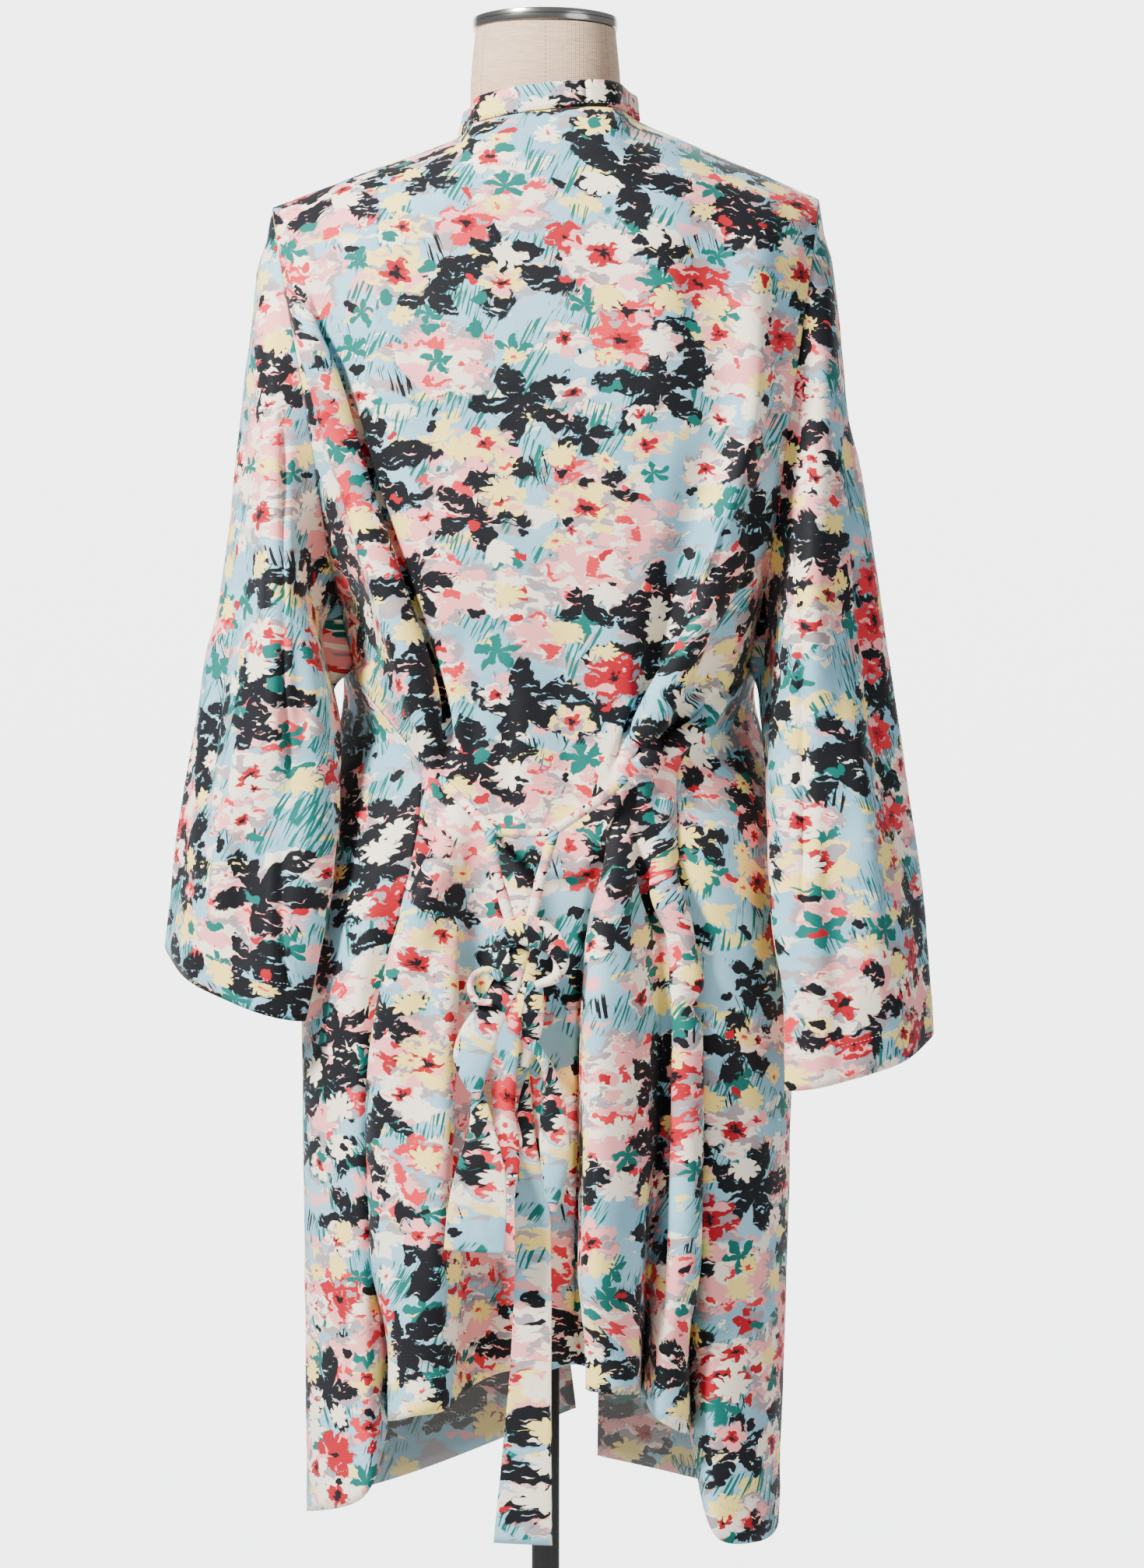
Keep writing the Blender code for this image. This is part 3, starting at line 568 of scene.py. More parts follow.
# How unevenly shapes are strewn, the range and least of their sizes, and their outlines
STREWN = 0.8
SIZE_RANGE = 0.45
SIZE_LEAST = 0.65
OUTLINE_RAGGED = (0.55, -0.27)
OUTLINE_EDGE = (1.04, 0.95)

# Knit and linen: threads to a metre
KNIT_RIBS = 330
KNIT_COURSES = 420
LINEN_THREADS = 230

CAMERA_PLACE = (0.019, -3.2, 1.0)
METRES_PER_PIXEL = 0.00056
IMAGE_HEIGHT = 2014
SENSOR = 36


def srgb(colour):
    """Linear colour of a seen one."""
    out = []
    for c in colour:
        c = c / 255
        out.append(c / 12.92 if c <= 0.04045 else ((c + 0.055) / 1.055) ** 2.4)
    return (*out, 1.0)


def between(s, h, start, end, start_slope, end_slope):
    """Cubic between two values at a share of their distance, with its slopes at both."""
    return (
        (1 + 2 * s) * (1 - s) ** 2 * start
        + s * (1 - s) ** 2 * h * start_slope
        + s ** 2 * (3 - 2 * s) * end
        + s ** 2 * (s - 1) * h * end_slope
    )


def smooth_curve(knots, values, places):
    """Cubic through the knots that never overshoots them."""
    knots = np.asarray(knots, float)
    values = np.asarray(values, float)
    places = np.clip(places, knots[0], knots[-1])
    steps = np.diff(knots)
    slopes = np.diff(values) / steps
    tangents = np.zeros_like(values)
    tangents[0], tangents[-1] = slopes[0], slopes[-1]
    for i in range(1, len(values) - 1):
        before, after = slopes[i - 1], slopes[i]
        if before * after > 0:
            tangents[i] = 2 * before * after / (before + after)
    index = np.clip(np.searchsorted(knots, places, side="right") - 1, 0, len(steps) - 1)
    h = steps[index]
    s = (places - knots[index]) / h
    return between(s, h, values[index], values[index + 1], tangents[index], tangents[index + 1])


def rounded_line(points, steps):
    """Points of a round curve through the given ones, steps to each stretch."""
    points = np.asarray(points, float)
    lengths = np.linalg.norm(np.diff(points[:, :3], axis=0), axis=1)
    knots = np.concatenate(([0.0], np.cumsum(np.sqrt(np.maximum(lengths, 1e-6)))))
    tangents = np.gradient(points, knots, axis=0)
    out = []
    for i in range(len(points) - 1):
        h = knots[i + 1] - knots[i]
        for k in range(steps):
            s = k / steps
            out.append(between(s, h, points[i], points[i + 1], tangents[i], tangents[i + 1]))
    out.append(points[-1])
    return np.array(out)


def run_along(points):
    """Length along a line from its first point to each of its points."""
    steps = np.linalg.norm(np.diff(points, axis=0), axis=1)
    return np.concatenate(([0.0], np.cumsum(steps)))


def unit(vectors):
    return vectors / np.linalg.norm(vectors, axis=-1, keepdims=True)


def soft_step(low, high, value):
    s = np.clip((value - low) / (high - low), 0, 1)
    return s * s * (3 - 2 * s)


def section_at(z):
    """Centre x, half width, back depth and front depth of the jacket at a height."""
    rows = np.array(BODY_SECTIONS[::-1], float) * MM
    return [smooth_curve(rows[:, 0], rows[:, i], z) for i in range(1, 5)]


def top_edge_at(x):
    """Depth and height of the shoulder and neck line."""
    rows = np.array(TOP_EDGE, float) * MM
    return smooth_curve(rows[:, 0], rows[:, 1], x), smooth_curve(rows[:, 0], rows[:, 2], x)


def round_over(drop):
    """How far the cloth has turned over the shoulder at a depth below its line."""
    s = 1 - np.clip(drop / SHOULDER_ROUND, 0, 1)
    return np.sqrt(1 - s * s)


def level_places(top_z, hem_z):
    """Height of each row, and its place among the levels."""
    heights = (top_z, *INNER_LEVELS, hem_z)
    knots = np.array((TOP_Z, *INNER_LEVELS, LOW_Z))
    z_rows, places = [], []
    for i, count in enumerate(ROWS_PER_LEVEL):
        count *= ROW_STEPS
        for k in range(count):
            share_down = (k / count) ** (CROWDING if i == 0 else 1)
            z_rows.append(heights[i] + (heights[i + 1] - heights[i]) * share_down)
            places.append(knots[i] + (knots[i + 1] - knots[i]) * share_down)
    z_rows.append(hem_z)
    places.append(LOW_Z)
    return np.array(z_rows), -np.array(places), -knots


def back_line(row):
    """Points of one ridge, trough or seam of the back from its top to the hem."""
    _, x_values, lifts, hem = row
    x_values = np.array(x_values) * MM
    top_y, top_z = top_edge_at(x_values[0])
    z, places, knots = level_places(float(top_z), hem * MM)
    x = smooth_curve(knots, x_values, places)
    lift = smooth_curve(knots, np.array((0, *lifts)) * MM, places)
    centre, half, back, _ = section_at(z)
    side = np.clip(np.abs(x - centre) / half, 0, 1)
    full = -back * (1 - side ** SECTION_POWER) ** (1 / SECTION_POWER)
    y = top_y + (full - top_y) * round_over(top_z - z) - lift
    return np.stack((x, y, z), axis=1)


def front_line(row, top_point):
    """Points of one line of a front from its shoulder point to the hem."""
    _, x_values, y_values, hem = row
    z, places, knots = level_places(top_point[2], hem * MM)
    x = smooth_curve(knots, np.array((top_point[0] / MM, *x_values)) * MM, places)
    y = smooth_curve(knots, np.array((y_values[0], *y_values)) * MM, places)
    y = top_point[1] + (y - top_point[1]) * round_over(top_point[2] - z)
    return np.stack((x, y, z), axis=1)


def across(lines):
    """Grid of points, rows down the cloth and columns across it."""
    lines = np.array(lines)
    return np.array([rounded_line(lines[:, r], COLUMN_STEPS) for r in range(lines.shape[1])])


def grid_normals(grid, wrap=False):
    """Normals that point away from the middle of what the cloth goes round."""
    if wrap:
        across_step = np.roll(grid, -1, axis=1) - np.roll(grid, 1, axis=1)
    else:
        across_step = np.gradient(grid, axis=1)
    normals = unit(np.cross(across_step, np.gradient(grid, axis=0)))
    middle = grid.mean(axis=1, keepdims=True) if wrap else np.array((0, 0, 1))
    away = (grid - middle) * np.array((1, 1, 1 if wrap else 0))
    return normals if np.sum(normals * away) > 0 else -normals


def armhole_rows():
    return (ROWS_PER_LEVEL[0] + ROWS_PER_LEVEL[1]) * ROW_STEPS


def body_grids():
    """Grids of the back and both fronts, with their shared edges at the same points."""
    back = across([back_line(row) for row in BACK_LINES])
    left_count = LEFT_NECK_LINE * COLUMN_STEPS + 1
    right_count = (len(BACK_LINES) - 1 - RIGHT_NECK_LINE) * COLUMN_STEPS + 1
    fronts = []
    for rows, top_row, seam in (
        (FRONT_LEFT_LINES, back[0, :left_count], back[:, 0]),
        (FRONT_RIGHT_LINES, back[0, ::-1][:right_count], back[:, -1]),
    ):
        tops = top_row[::COLUMN_STEPS]
        lines = [front_line(row, top) for row, top in zip(rows, tops)]
        lines[0][armhole_rows():] = seam[armhole_rows():]
        grid = across(lines)
        grid[0] = top_row
        fronts.append(grid)
    return back, fronts[0], fronts[1]


def armhole_loop(back_edge, front_edge):
    """Points round the armhole: shoulder, back, underarm, front."""
    count = armhole_rows()
    return np.concatenate((back_edge[:count + 1], front_edge[1:count][::-1]))


def sleeve_grid(sections, loop):
    """Rings of a sleeve from the armhole to its hem."""
    table = np.array(sections, float)
    table[:, 1:] *= MM
    even = np.arange(len(loop)) * 2 * math.pi / len(loop)

    def value(column, place):
        return float(smooth_curve(table[:, 0], table[:, column], place))

    def ends(place):
        outer = np.array([value(i, place) for i in (1, 2, 3)])
        inner = np.array([value(i, place) for i in (4, 5, 6)])
        return outer, inner

    outer, inner = ends(0.0)
    arm = (outer - inner) / 2
    reach = loop - (outer + inner) / 2
    along = reach @ arm / (arm @ arm)
    behind = -reach[:, 1] / np.where(reach[:, 1] < 0, value(7, 0.0), value(8, 0.0))
    start_angles = np.mod(np.arctan2(behind, along), 2 * math.pi)
    start_angles[0] = 0.0

    def ring(place, fade):
        outer, inner = ends(place)
        centre, arm = (outer + inner) / 2, (outer - inner) / 2
        angles = start_angles * fade + even * (1 - fade)
        turn = SLEEVE_TURN * float(soft_step(TURN_START, 1, place))
        behind = np.array((math.copysign(math.sin(turn), outer[0]), -math.cos(turn), 0.0))
        across_part = behind * np.sin(angles)[:, None]
        out = unit(unit(arm) * np.cos(angles)[:, None] + across_part)
        depth = np.where(np.sin(angles) > 0, value(7, place), value(8, place))[:, None]
        swell = fold_swell(np.degrees(angles), place)[:, None]
        return centre + arm * np.cos(angles)[:, None] + across_part * depth + out * swell

    first = ring(0.0, 1.0)
    grid = [loop]
    rings = (SLEEVE_RINGS - 1) * RING_STEPS
    for r in range(1, rings + 1):
        place = r / rings
        fade = float(soft_step(0, 1, 1 - place / SLEEVE_BLEND))
        grid.append(ring(place, fade) + (loop - first) * fade)
    return np.array(grid)


def fold_swell(degrees, place):
    """How far the long folds raise a sleeve at its angles and a place along it."""
    swell = np.zeros_like(degrees)
    for middle, half, depth, start, end in SLEEVE_FOLDS:
        if start < place < end:
            away = (degrees - middle) / half
            length_share = math.sin(math.pi * (place - start) / (end - start))
            swell += depth * MM * np.exp(-away * away) * length_share
    return swell


def bell(values, middle_and_half):
    middle, half = middle_and_half
    return np.exp(-((values - middle) / half) ** 2)


def crease_height(points, creases):
    """Height that the creases add at each point, by its distance in the x-z plane."""
    flat = points[..., (0, 2)]
    total = np.zeros(flat.shape[:2])
    for line, half_width, height, lean in creases:
        line = rounded_line(np.array(line, float) * MM, CREASE_STEPS)
        steps = np.linalg.norm(np.diff(line, axis=0), axis=1)
        run = np.concatenate(([0.0], np.cumsum(steps))) / steps.sum()
        best = np.full(flat.shape[:2], 1e9)
        side = np.zeros(flat.shape[:2])
        place = np.zeros(flat.shape[:2])
        for i in range(len(line) - 1):
            step = line[i + 1] - line[i]
            t = np.clip((flat - line[i]) @ step / (step @ step), 0, 1)
            off = flat - line[i] - t[..., None] * step
            away = np.linalg.norm(off, axis=-1)
            nearer = away < best
            best = np.where(nearer, away, best)
            side = np.where(nearer, np.sign(step[0] * off[..., 1] - step[1] * off[..., 0]), side)
            place = np.where(nearer, run[i] + (run[i + 1] - run[i]) * t, place)
        share = best / (half_width * MM)
        if lean:
            share = share * side * lean
            shape = bell(share, STEEP_RIDGE) - bell(share, STEEP_DROP)
        else:
            shape = bell(share, (0, 1))
        ends = soft_step(0, CREASE_ENDS, place) * soft_step(0, CREASE_ENDS, 1 - place)
        total += height * MM * shape * ends
    return total


def ripples(points, seed, size, height):
    """Faint uneven waves of soft cloth, the same on every run."""
    rng = np.random.default_rng(seed)
    total = np.zeros(points.shape[:2])
    for _ in range(RIPPLE_WAVES):
        heading = rng.normal(size=3) * np.array(RIPPLE_HEADINGS)
        wave = 2 * math.pi / (size * rng.uniform(*RIPPLE_SIZES))
        total += np.sin(points @ unit(heading) * wave + rng.uniform(0, 6.3))
    return total * height / 3


def cloth_ripples(grid, seed):
    return sum(ripples(grid, seed + i, *wave) for i, wave in enumerate(CLOTH_RIPPLES))


def arc_lengths(grid, axis):
    steps = np.linalg.norm(np.diff(grid, axis=axis), axis=-1)
    start = np.zeros_like(np.take(steps, [0], axis=axis))
    return np.cumsum(np.concatenate((start, steps), axis=axis), axis=axis)


def flat_places(grid, zero_column):
    """Where each point of an upright cloth lies in the flat: across it and down it."""
    steps = np.linalg.norm(np.diff(grid[..., :2], axis=1), axis=-1)
    u = np.concatenate((np.zeros((len(grid), 1)), np.cumsum(steps, axis=1)), axis=1)
    u = u - u[:, zero_column:zero_column + 1]
    down = arc_lengths(grid[:, zero_column:zero_column + 1], 0)
    v = grid[..., 2] - grid[:, zero_column:zero_column + 1, 2] - down
    chest = ROWS_PER_LEVEL[0] * ROW_STEPS
    rise = arc_lengths(grid[chest::-1], 0)[::-1]
    v[:chest + 1] = v[chest] + rise
    return np.stack((u, v), axis=-1)


def sleeve_places(grid, outer_column):
    """Where each point of a sleeve lies in the flat: round it from its outer edge, and down."""
    points = grid.reshape(-1, 3)
    side = math.copysign(1, points[:, 0].mean())
    levels = np.linspace(points[:, 2].min(), points[:, 2].max(), SLICES + 1)
    middles, boxes = [], []
    for low, high in zip(levels[:-1], levels[1:]):
        near = points[(points[:, 2] >= low) & (points[:, 2] <= high)]
        middles.append((low + high) / 2)
        boxes.append((*near[:, :2].min(axis=0), *near[:, :2].max(axis=0)))
    boxes = np.array(boxes)
    ease = np.array(SLICE_EASE) / sum(SLICE_EASE)
    boxes = np.stack([np.convolve(np.pad(b, 2, "edge"), ease, "valid") for b in boxes.T], axis=1)
    x0, y0, x1, y1 = (np.interp(grid[..., 2], middles, boxes[:, i]) for i in range(4))
    half_x, half_y = (x1 - x0) / 2, (y1 - y0) / 2
    out_x = side * (grid[..., 0] - (x0 + x1) / 2) / half_x
    angle = np.arctan2(-(grid[..., 1] - (y0 + y1) / 2) / half_y, out_x)
    behind = np.unwrap(angle[:, outer_column:], axis=1)
    before = np.unwrap(angle[:, outer_column::-1], axis=1)[:, ::-1]
    angle = np.concatenate((before[:, :-1], behind), axis=1)
    u = np.zeros_like(angle)
    for k in range(SLICES):
        part = angle * (k + 0.5) / SLICES
        u += np.hypot(half_x * np.sin(part), half_y * np.cos(part)) * angle / SLICES
    return np.stack((u, grid[..., 2]), axis=-1)


def band_places(grid, zero_column):
    """Where each point of the neckband lies in the flat: along it and across it."""
    u = arc_lengths(grid, 1)
    return np.stack((u - u[:, zero_column:zero_column + 1], -arc_lengths(grid, 0)), axis=-1)


def new_object(name, vertices, faces, materials, face_materials=None, corner_uv=None):
    mesh = bpy.data.meshes.new(name)
    mesh.from_pydata(np.asarray(vertices).tolist(), [], faces)
    for material in materials:
        mesh.materials.append(material)
    if face_materials is not None:
        mesh.polygons.foreach_set("material_index", face_materials)
    if corner_uv is not None:
        layer = mesh.uv_layers.new(name="cloth")
        layer.data.foreach_set("uv", np.asarray(corner_uv, float).ravel())
    mesh.shade_smooth()
    item = bpy.data.objects.new(name, mesh)
    bpy.context.scene.collection.objects.link(item)
    return item


def face_out(item, merge=0):
    """Turns the faces of a piece outwards, once its points at one place are merged."""
    bm = bmesh.new()
    bm.from_mesh(item.data)
    if merge:
        bmesh.ops.remove_doubles(bm, verts=bm.verts, dist=merge)
    bmesh.ops.recalc_face_normals(bm, faces=bm.faces)
    bm.to_mesh(item.data)
    bm.free()


def cloth_wall(name, grid, normals, thickness, uv, materials, wrap=False):
    """Closed thin wall of cloth: its right side, its wrong side and its raw edges.

    A wall that goes all round has one more column of flat places than of points.
    """
    rows, columns = grid.shape[:2]
    thickness = np.broadcast_to(np.asarray(thickness, float), grid.shape[:2])[..., None]
    outer = (grid + normals * thickness / 2).reshape(-1, 3)
    inner = (grid - normals * thickness / 2).reshape(-1, 3)
    shift = rows * columns
    last = columns if wrap else columns - 1
    faces, kinds, corners = [], [], []

    def add(face, kind, places):
        faces.append(face)
        kinds.append(kind)
        corners.extend(uv[r, c] for r, c in places)

    for r in range(rows - 1):
        for c in range(last):
            a = r * columns + c
            b = r * columns + (c + 1) % columns
            quad = (a, b, b + columns, a + columns)
            places = ((r, c), (r, c + 1), (r + 1, c + 1), (r + 1, c))
            add(quad, 0, places)
            add(tuple(v + shift for v in reversed(quad)), 1, places[::-1])
    for r in (0, rows - 1):
        for c in range(last):
            a, b = r * columns + c, r * columns + (c + 1) % columns
            add((a, b, b + shift, a + shift), 1, ((r, c), (r, c + 1), (r, c + 1), (r, c)))
    if not wrap:
        for c in (0, columns - 1):
            for r in range(rows - 1):
                a, b = r * columns + c, (r + 1) * columns + c
                add((a, b, b + shift, a + shift), 1, ((r, c), (r + 1, c), (r + 1, c), (r, c)))
    item = new_object(name, np.concatenate((outer, inner)), faces, materials, kinds, corners)
    face_out(item)
    return item


class Graph:
    """Short names for the shader nodes of one material or world."""

    def __init__(self, owner, shader="Principled BSDF"):
        self.owner = owner
        self.owner.use_nodes = True
        self.tree = self.owner.node_tree
        self.shader = self.tree.nodes[shader]

    def node(self, kind, inputs=(), output=0, **settings):
        item = self.tree.nodes.new("ShaderNode" + kind)
        for key, value in settings.items():
            setattr(item, key, value)
        for key, value in dict(inputs).items():
            self.put(item.inputs[key], value)
        return item.outputs[output]

    def put(self, socket, value):
        if isinstance(value, bpy.types.NodeSocket):
            self.tree.links.new(value, socket)
        else:
            socket.default_value = value

    def math(self, operation, a, b=0.0, c=0.0):
        return self.node("Math", {0: a, 1: b, 2: c}, operation=operation)

    def times(self, a, b):
        return self.math("MULTIPLY", a, b)

    def vector(self, operation, a, b=(0, 0, 0), scale=1.0, output=0):
        inputs = {0: a, "Scale": scale} if operation == "SCALE" else {0: a, 1: b}
        return self.node("VectorMath", inputs, output, operation=operation)

    def step(self, low, high, value):
        """Soft step from 0 at low to 1 at high."""
        inputs = {"Value": value, "From Min": low, "From Max": high}
        return self.node("MapRange", inputs, interpolation_type="SMOOTHSTEP")

    def mix(self, share, a, b):
        return self.node("Mix", {0: share, 6: a, 7: b}, 2, data_type="RGBA")

    def noise(self, place, scale, detail, output=0):
        inputs = {"Vector": place, "Scale": scale, "Detail": detail}
        return self.node("TexNoise", inputs, output)

    def waves(self, place, way, scale, distortion):
        inputs = {"Vector": place, "Scale": scale, "Distortion": distortion}
        return self.node("TexWave", inputs, 1, bands_direction=way)

    def finish(self, inputs):
        for name, value in inputs.items():
            self.put(self.shader.inputs[name], value)
        return self.owner

    def spread(self, value, low, high):
        """From low where the value is 0 to high where it is 1."""
        return self.node("MapRange", {"Value": value, "To Min": low, "To Max": high})

    def pick(self, share, colours):
        """One of the colours by a number from 0 to 1, with hard changes."""
        colour = self.node("ValToRGB", {0: share})
        ramp = colour.node.color_ramp
        ramp.interpolation = "CONSTANT"
        ramp.elements[0].color = srgb(colours[0])
        ramp.elements.remove(ramp.elements[1])
        for i in range(1, len(colours)):
            ramp.elements.new(i / len(colours)).color = srgb(colours[i])
        return colour

    def bump(self, height, strength, distance, normal=None):
        inputs = {"Height": height, "Strength": strength, "Distance": distance}
        if normal is not None:
            inputs["Normal"] = normal
        return self.node("Bump", inputs)


def scattered(graph, place, brush, layer):
    """Petalled shapes strewn over the cloth, one to a cell at most.

    Gives the shape's mask, the share of its radius and its own random numbers.
    """
    cell, shift, petals, radius, depth, sharp, chance = layer
    moved = graph.vector("ADD", place, (*shift, 0))
    cells = graph.vector("SCALE", moved, scale=1 / cell)
    inputs = {"Vector": cells, "Scale": 1.0, "Randomness": STREWN}
    voronoi = graph.node("TexVoronoi", inputs, voronoi_dimensions="2D").node.outputs
    own = graph.node("SeparateColor", {0: voronoi["Color"]}).node.outputs
    local = graph.vector("SUBTRACT", cells, voronoi["Position"])
    parts = graph.node("SeparateXYZ", {0: local}).node.outputs
    angle = graph.math("ARCTAN2", parts[1], parts[0])
    turned = graph.math("MULTIPLY_ADD", own[2], 6.28, angle)
    wave = graph.math("ABSOLUTE", graph.math("COSINE", graph.times(turned, petals / 2)))
    wave = graph.math("POWER", wave, sharp)
    reach = graph.math("MULTIPLY_ADD", wave, depth, 1 - depth)
    size = graph.math("MULTIPLY_ADD", own[1], SIZE_RANGE, SIZE_LEAST)
    reach = graph.times(reach, graph.times(size, radius / cell))
    length = graph.vector("LENGTH", local, output=1)
    share = graph.math("DIVIDE", length, reach)
    ragged = graph.math("MULTIPLY_ADD", brush, *OUTLINE_RAGGED)
    share = graph.math("ADD", share, ragged)
    mask = graph.step(*OUTLINE_EDGE, share)
    mask = graph.times(mask, graph.math("LESS_THAN", own[0], chance))
    return mask, share, own


def print_colour(graph, shift):
    """Brushed flowers, leaf fans and grass strewn on a light ground."""
    uv = graph.node("UVMap", uv_map="cloth")
    steady = graph.vector("ADD", uv, (*shift, 0))
    wobble = graph.vector("SUBTRACT", graph.noise(steady, WOBBLE_SCALE, 2, 1), (0.5, 0.5, 0.5))
    place = graph.vector("ADD", steady, graph.vector("SCALE", wobble, scale=WOBBLE_REACH))
    place = graph.vector("MULTIPLY", place, PRINT_STRETCH)
    brush = graph.noise(graph.vector("MULTIPLY", place, BRUSH_STRETCH), BRUSH_SCALE, 3)
    dabs = graph.noise(graph.vector("MULTIPLY", place, DABS_STRETCH), DABS_SCALE, 3)
    marks = graph.noise(graph.vector("ADD", place, MARKS_OFFSET), MARKS_SCALE, 3)
    broad = graph.noise(place, BROAD_SCALE, 2)
    ragged = graph.math("MULTIPLY_ADD", brush, RAGGED, -RAGGED / 2)

    colour = graph.mix(graph.step(0.4, 0.62, broad), srgb(GROUND), srgb(GROUND_DEEP))
    for offset, low, shade, amount in WASHES:
        moved = graph.vector("MULTIPLY", place, WASH_STRETCH)
        moved = graph.vector("ADD", moved, (offset, offset, 0))
        wash = graph.math("ADD", graph.noise(moved, WASH_SCALE, 2), ragged)
        wash = graph.step(low, low + WASH_EDGE, wash)
        colour = graph.mix(graph.times(wash, amount), colour, srgb(shade))

    for spin, shade, low, thin in GRASSES:
        slanted = graph.node("Mapping", {0: steady, "Rotation": (0, 0, spin)})
        drawn = graph.noise(graph.vector("MULTIPLY", slanted, GRASS_SCALE), 1.0, 1)
        patch = graph.noise(graph.vector("ADD", steady, (low * 9, spin, 0)), GRASS_PATCHES, 1)
        drawn = graph.step(low, low + GRASS_EDGE, drawn)
        stroke = graph.times(drawn, graph.step(thin, thin + GRASS_EDGE, patch))
        colour = graph.mix(stroke, colour, srgb(shade))

    for layer in BLOOMS:
        mask, share, own = scattered(graph, place, brush, layer)
        tone = graph.mix(graph.step(0.52, 0.54, dabs), srgb(PINK), srgb(CREAM))
        rim = graph.step(0.74, 0.8, graph.math("ADD", share, ragged))
        rim = graph.times(rim, graph.step(0.46, 0.48, marks))
        tone = graph.mix(rim, tone, srgb(TAUPE))
        heart = graph.math("ADD", marks, graph.times(own[1], 0.05))
        tone = graph.mix(graph.step(0.43, 0.42, heart), tone, srgb(CORAL))
        colour = graph.mix(mask, colour, tone)

    slanted = graph.node("Mapping", {0: steady, "Rotation": (0, 0, COMB_SLANT)})
    comb = graph.noise(graph.vector("MULTIPLY", slanted, COMB_SCALE), 1.0, 2)
    for layer in SPRIGS:
        mask, _, _ = scattered(graph, place, comb, layer)
        colour = graph.mix(mask, colour, srgb(TEAL))

    for layer in LEAVES:
        mask, share, _ = scattered(graph, place, comb, layer)
        slit = graph.times(graph.step(0.60, 0.63, brush), graph.step(0.2, 0.35, share))
        mask = graph.times(mask, graph.math("SUBTRACT", 1, slit))
        colour = graph.mix(mask, colour, srgb(CHARCOAL))

    for layer in FLOWERS:
        mask, share, own = scattered(graph, place, brush, layer)
        petal = graph.pick(own[1], (CREAM, CORAL, PINK, RED, CREAM, YELLOW, CORAL, CREAM))
        petal = graph.mix(graph.step(0.56, 0.58, dabs), petal, srgb(TAUPE))
        petal = graph.mix(graph.step(0.44, 0.42, dabs), petal, srgb(PINK))
        heart = graph.step(0.42, 0.36, graph.math("ADD", share, ragged))
        petal = graph.mix(heart, petal, srgb(RED))
        petal = graph.mix(graph.step(0.2, 0.14, share), petal, srgb(CHARCOAL))
        colour = graph.mix(mask, colour, petal)

    for layer in DAISIES:
        mask, share, own = scattered(graph, place, brush, layer)
        petal = graph.pick(own[1], (YELLOW, CREAM, YELLOW, YELLOW, CREAM))
        some = graph.math("LESS_THAN", own[1], 0.3)
        heart = graph.times(graph.step(0.3, 0.24, share), some)
        petal = graph.mix(heart, petal, srgb(CORAL))
        colour = graph.mix(mask, colour, petal)

    mask, _, own = scattered(graph, place, brush, BUDS)
    return graph.mix(mask, colour, graph.pick(own[1], (CHARCOAL, RED, CHARCOAL, TEAL))), uv


def knit_bump(graph, uv, strength):
    """Fine ribs of the knit and a slight unevenness."""
    ribs = graph.waves(uv, "X", KNIT_RIBS, 0.6)
    courses = graph.waves(uv, "Y", KNIT_COURSES, 0.8)
    knit = graph.math("ADD", ribs, graph.times(courses, 0.6))
    knit = graph.bump(knit, strength, 0.00025)
    return graph.bump(graph.noise(uv, 90, 4), 0.22, 0.0012, knit)


def new_graph(name):
    return Graph(bpy.data.materials.new(name))


def cloth_material(name, shift, wrong=False):
    graph = new_graph(name)
    colour, uv = print_colour(graph, shift)
    if wrong:
        colour = graph.mix(WRONG_SIDE_SHARE, colour, srgb(WRONG_SIDE))
    return graph.finish({
        "Base Color": colour,
        "Roughness": graph.spread(graph.noise(uv, 120, 2), 0.62, 0.8),
        "Sheen Weight": 0.08,
        "Sheen Roughness": 0.4,
        "Specular IOR Level": 0.2,
        "Normal": knit_bump(graph, uv, 0.35),
    })


def thread_material(name, colour):
    graph = new_graph(name)
    place = graph.node("TexCoord", output="Object")
    tone = graph.noise(place, 900, 2)
    return graph.finish({
        "Base Color": graph.mix(tone, srgb(colour), srgb(GROUND_DEEP)),
        "Roughness": 0.75,
        "Normal": graph.bump(tone, 0.4, 0.0003),
    })


def linen_material():
    """Plain weave with slubs."""
    graph = new_graph("form_linen")
    place = graph.node("TexCoord", output="Object")
    warp, weft = (graph.waves(place, way, LINEN_THREADS, 1.5) for way in "XZ")
    weave = graph.times(graph.math("ADD", warp, weft), 0.5)
    slubs = graph.noise(graph.vector("MULTIPLY", place, (1, 1, 9)), 110, 3)
    tone = graph.math("MULTIPLY_ADD", slubs, 0.7, graph.times(weave, 0.3))
    return graph.finish({
        "Base Color": graph.mix(graph.step(0.3, 0.75, tone), srgb(LINEN_DARK), srgb(LINEN)),
        "Roughness": 0.85,
        "Sheen Weight": 0.15,
        "Normal": graph.bump(weave, 0.5, 0.0006),
    })


def metal_material():
    graph = new_graph("rim_metal")
    place = graph.node("TexCoord", output="Object")
    brushed = graph.noise(graph.vector("MULTIPLY", place, (1, 1, 40)), 60, 3)
    return graph.finish({
        "Base Color": graph.mix(brushed, srgb(METAL), srgb(METAL_BRIGHT)),
        "Roughness": graph.spread(brushed, 0.14, 0.26),
        "Metallic": 1.0,
        "Normal": graph.bump(brushed, 0.06, 0.0004),
    })


def black_material():
    graph = new_graph("stand_black")
    place = graph.node("TexCoord", output="Object")
    worn = graph.noise(place, 25, 4)
    return graph.finish({
        "Base Color": graph.mix(worn, srgb(BLACK), srgb(BLACK_WORN)),
        "Roughness": graph.spread(worn, 0.32, 0.5),
        "Normal": graph.bump(graph.noise(place, 500, 3), 0.18, 0.0004),
    })


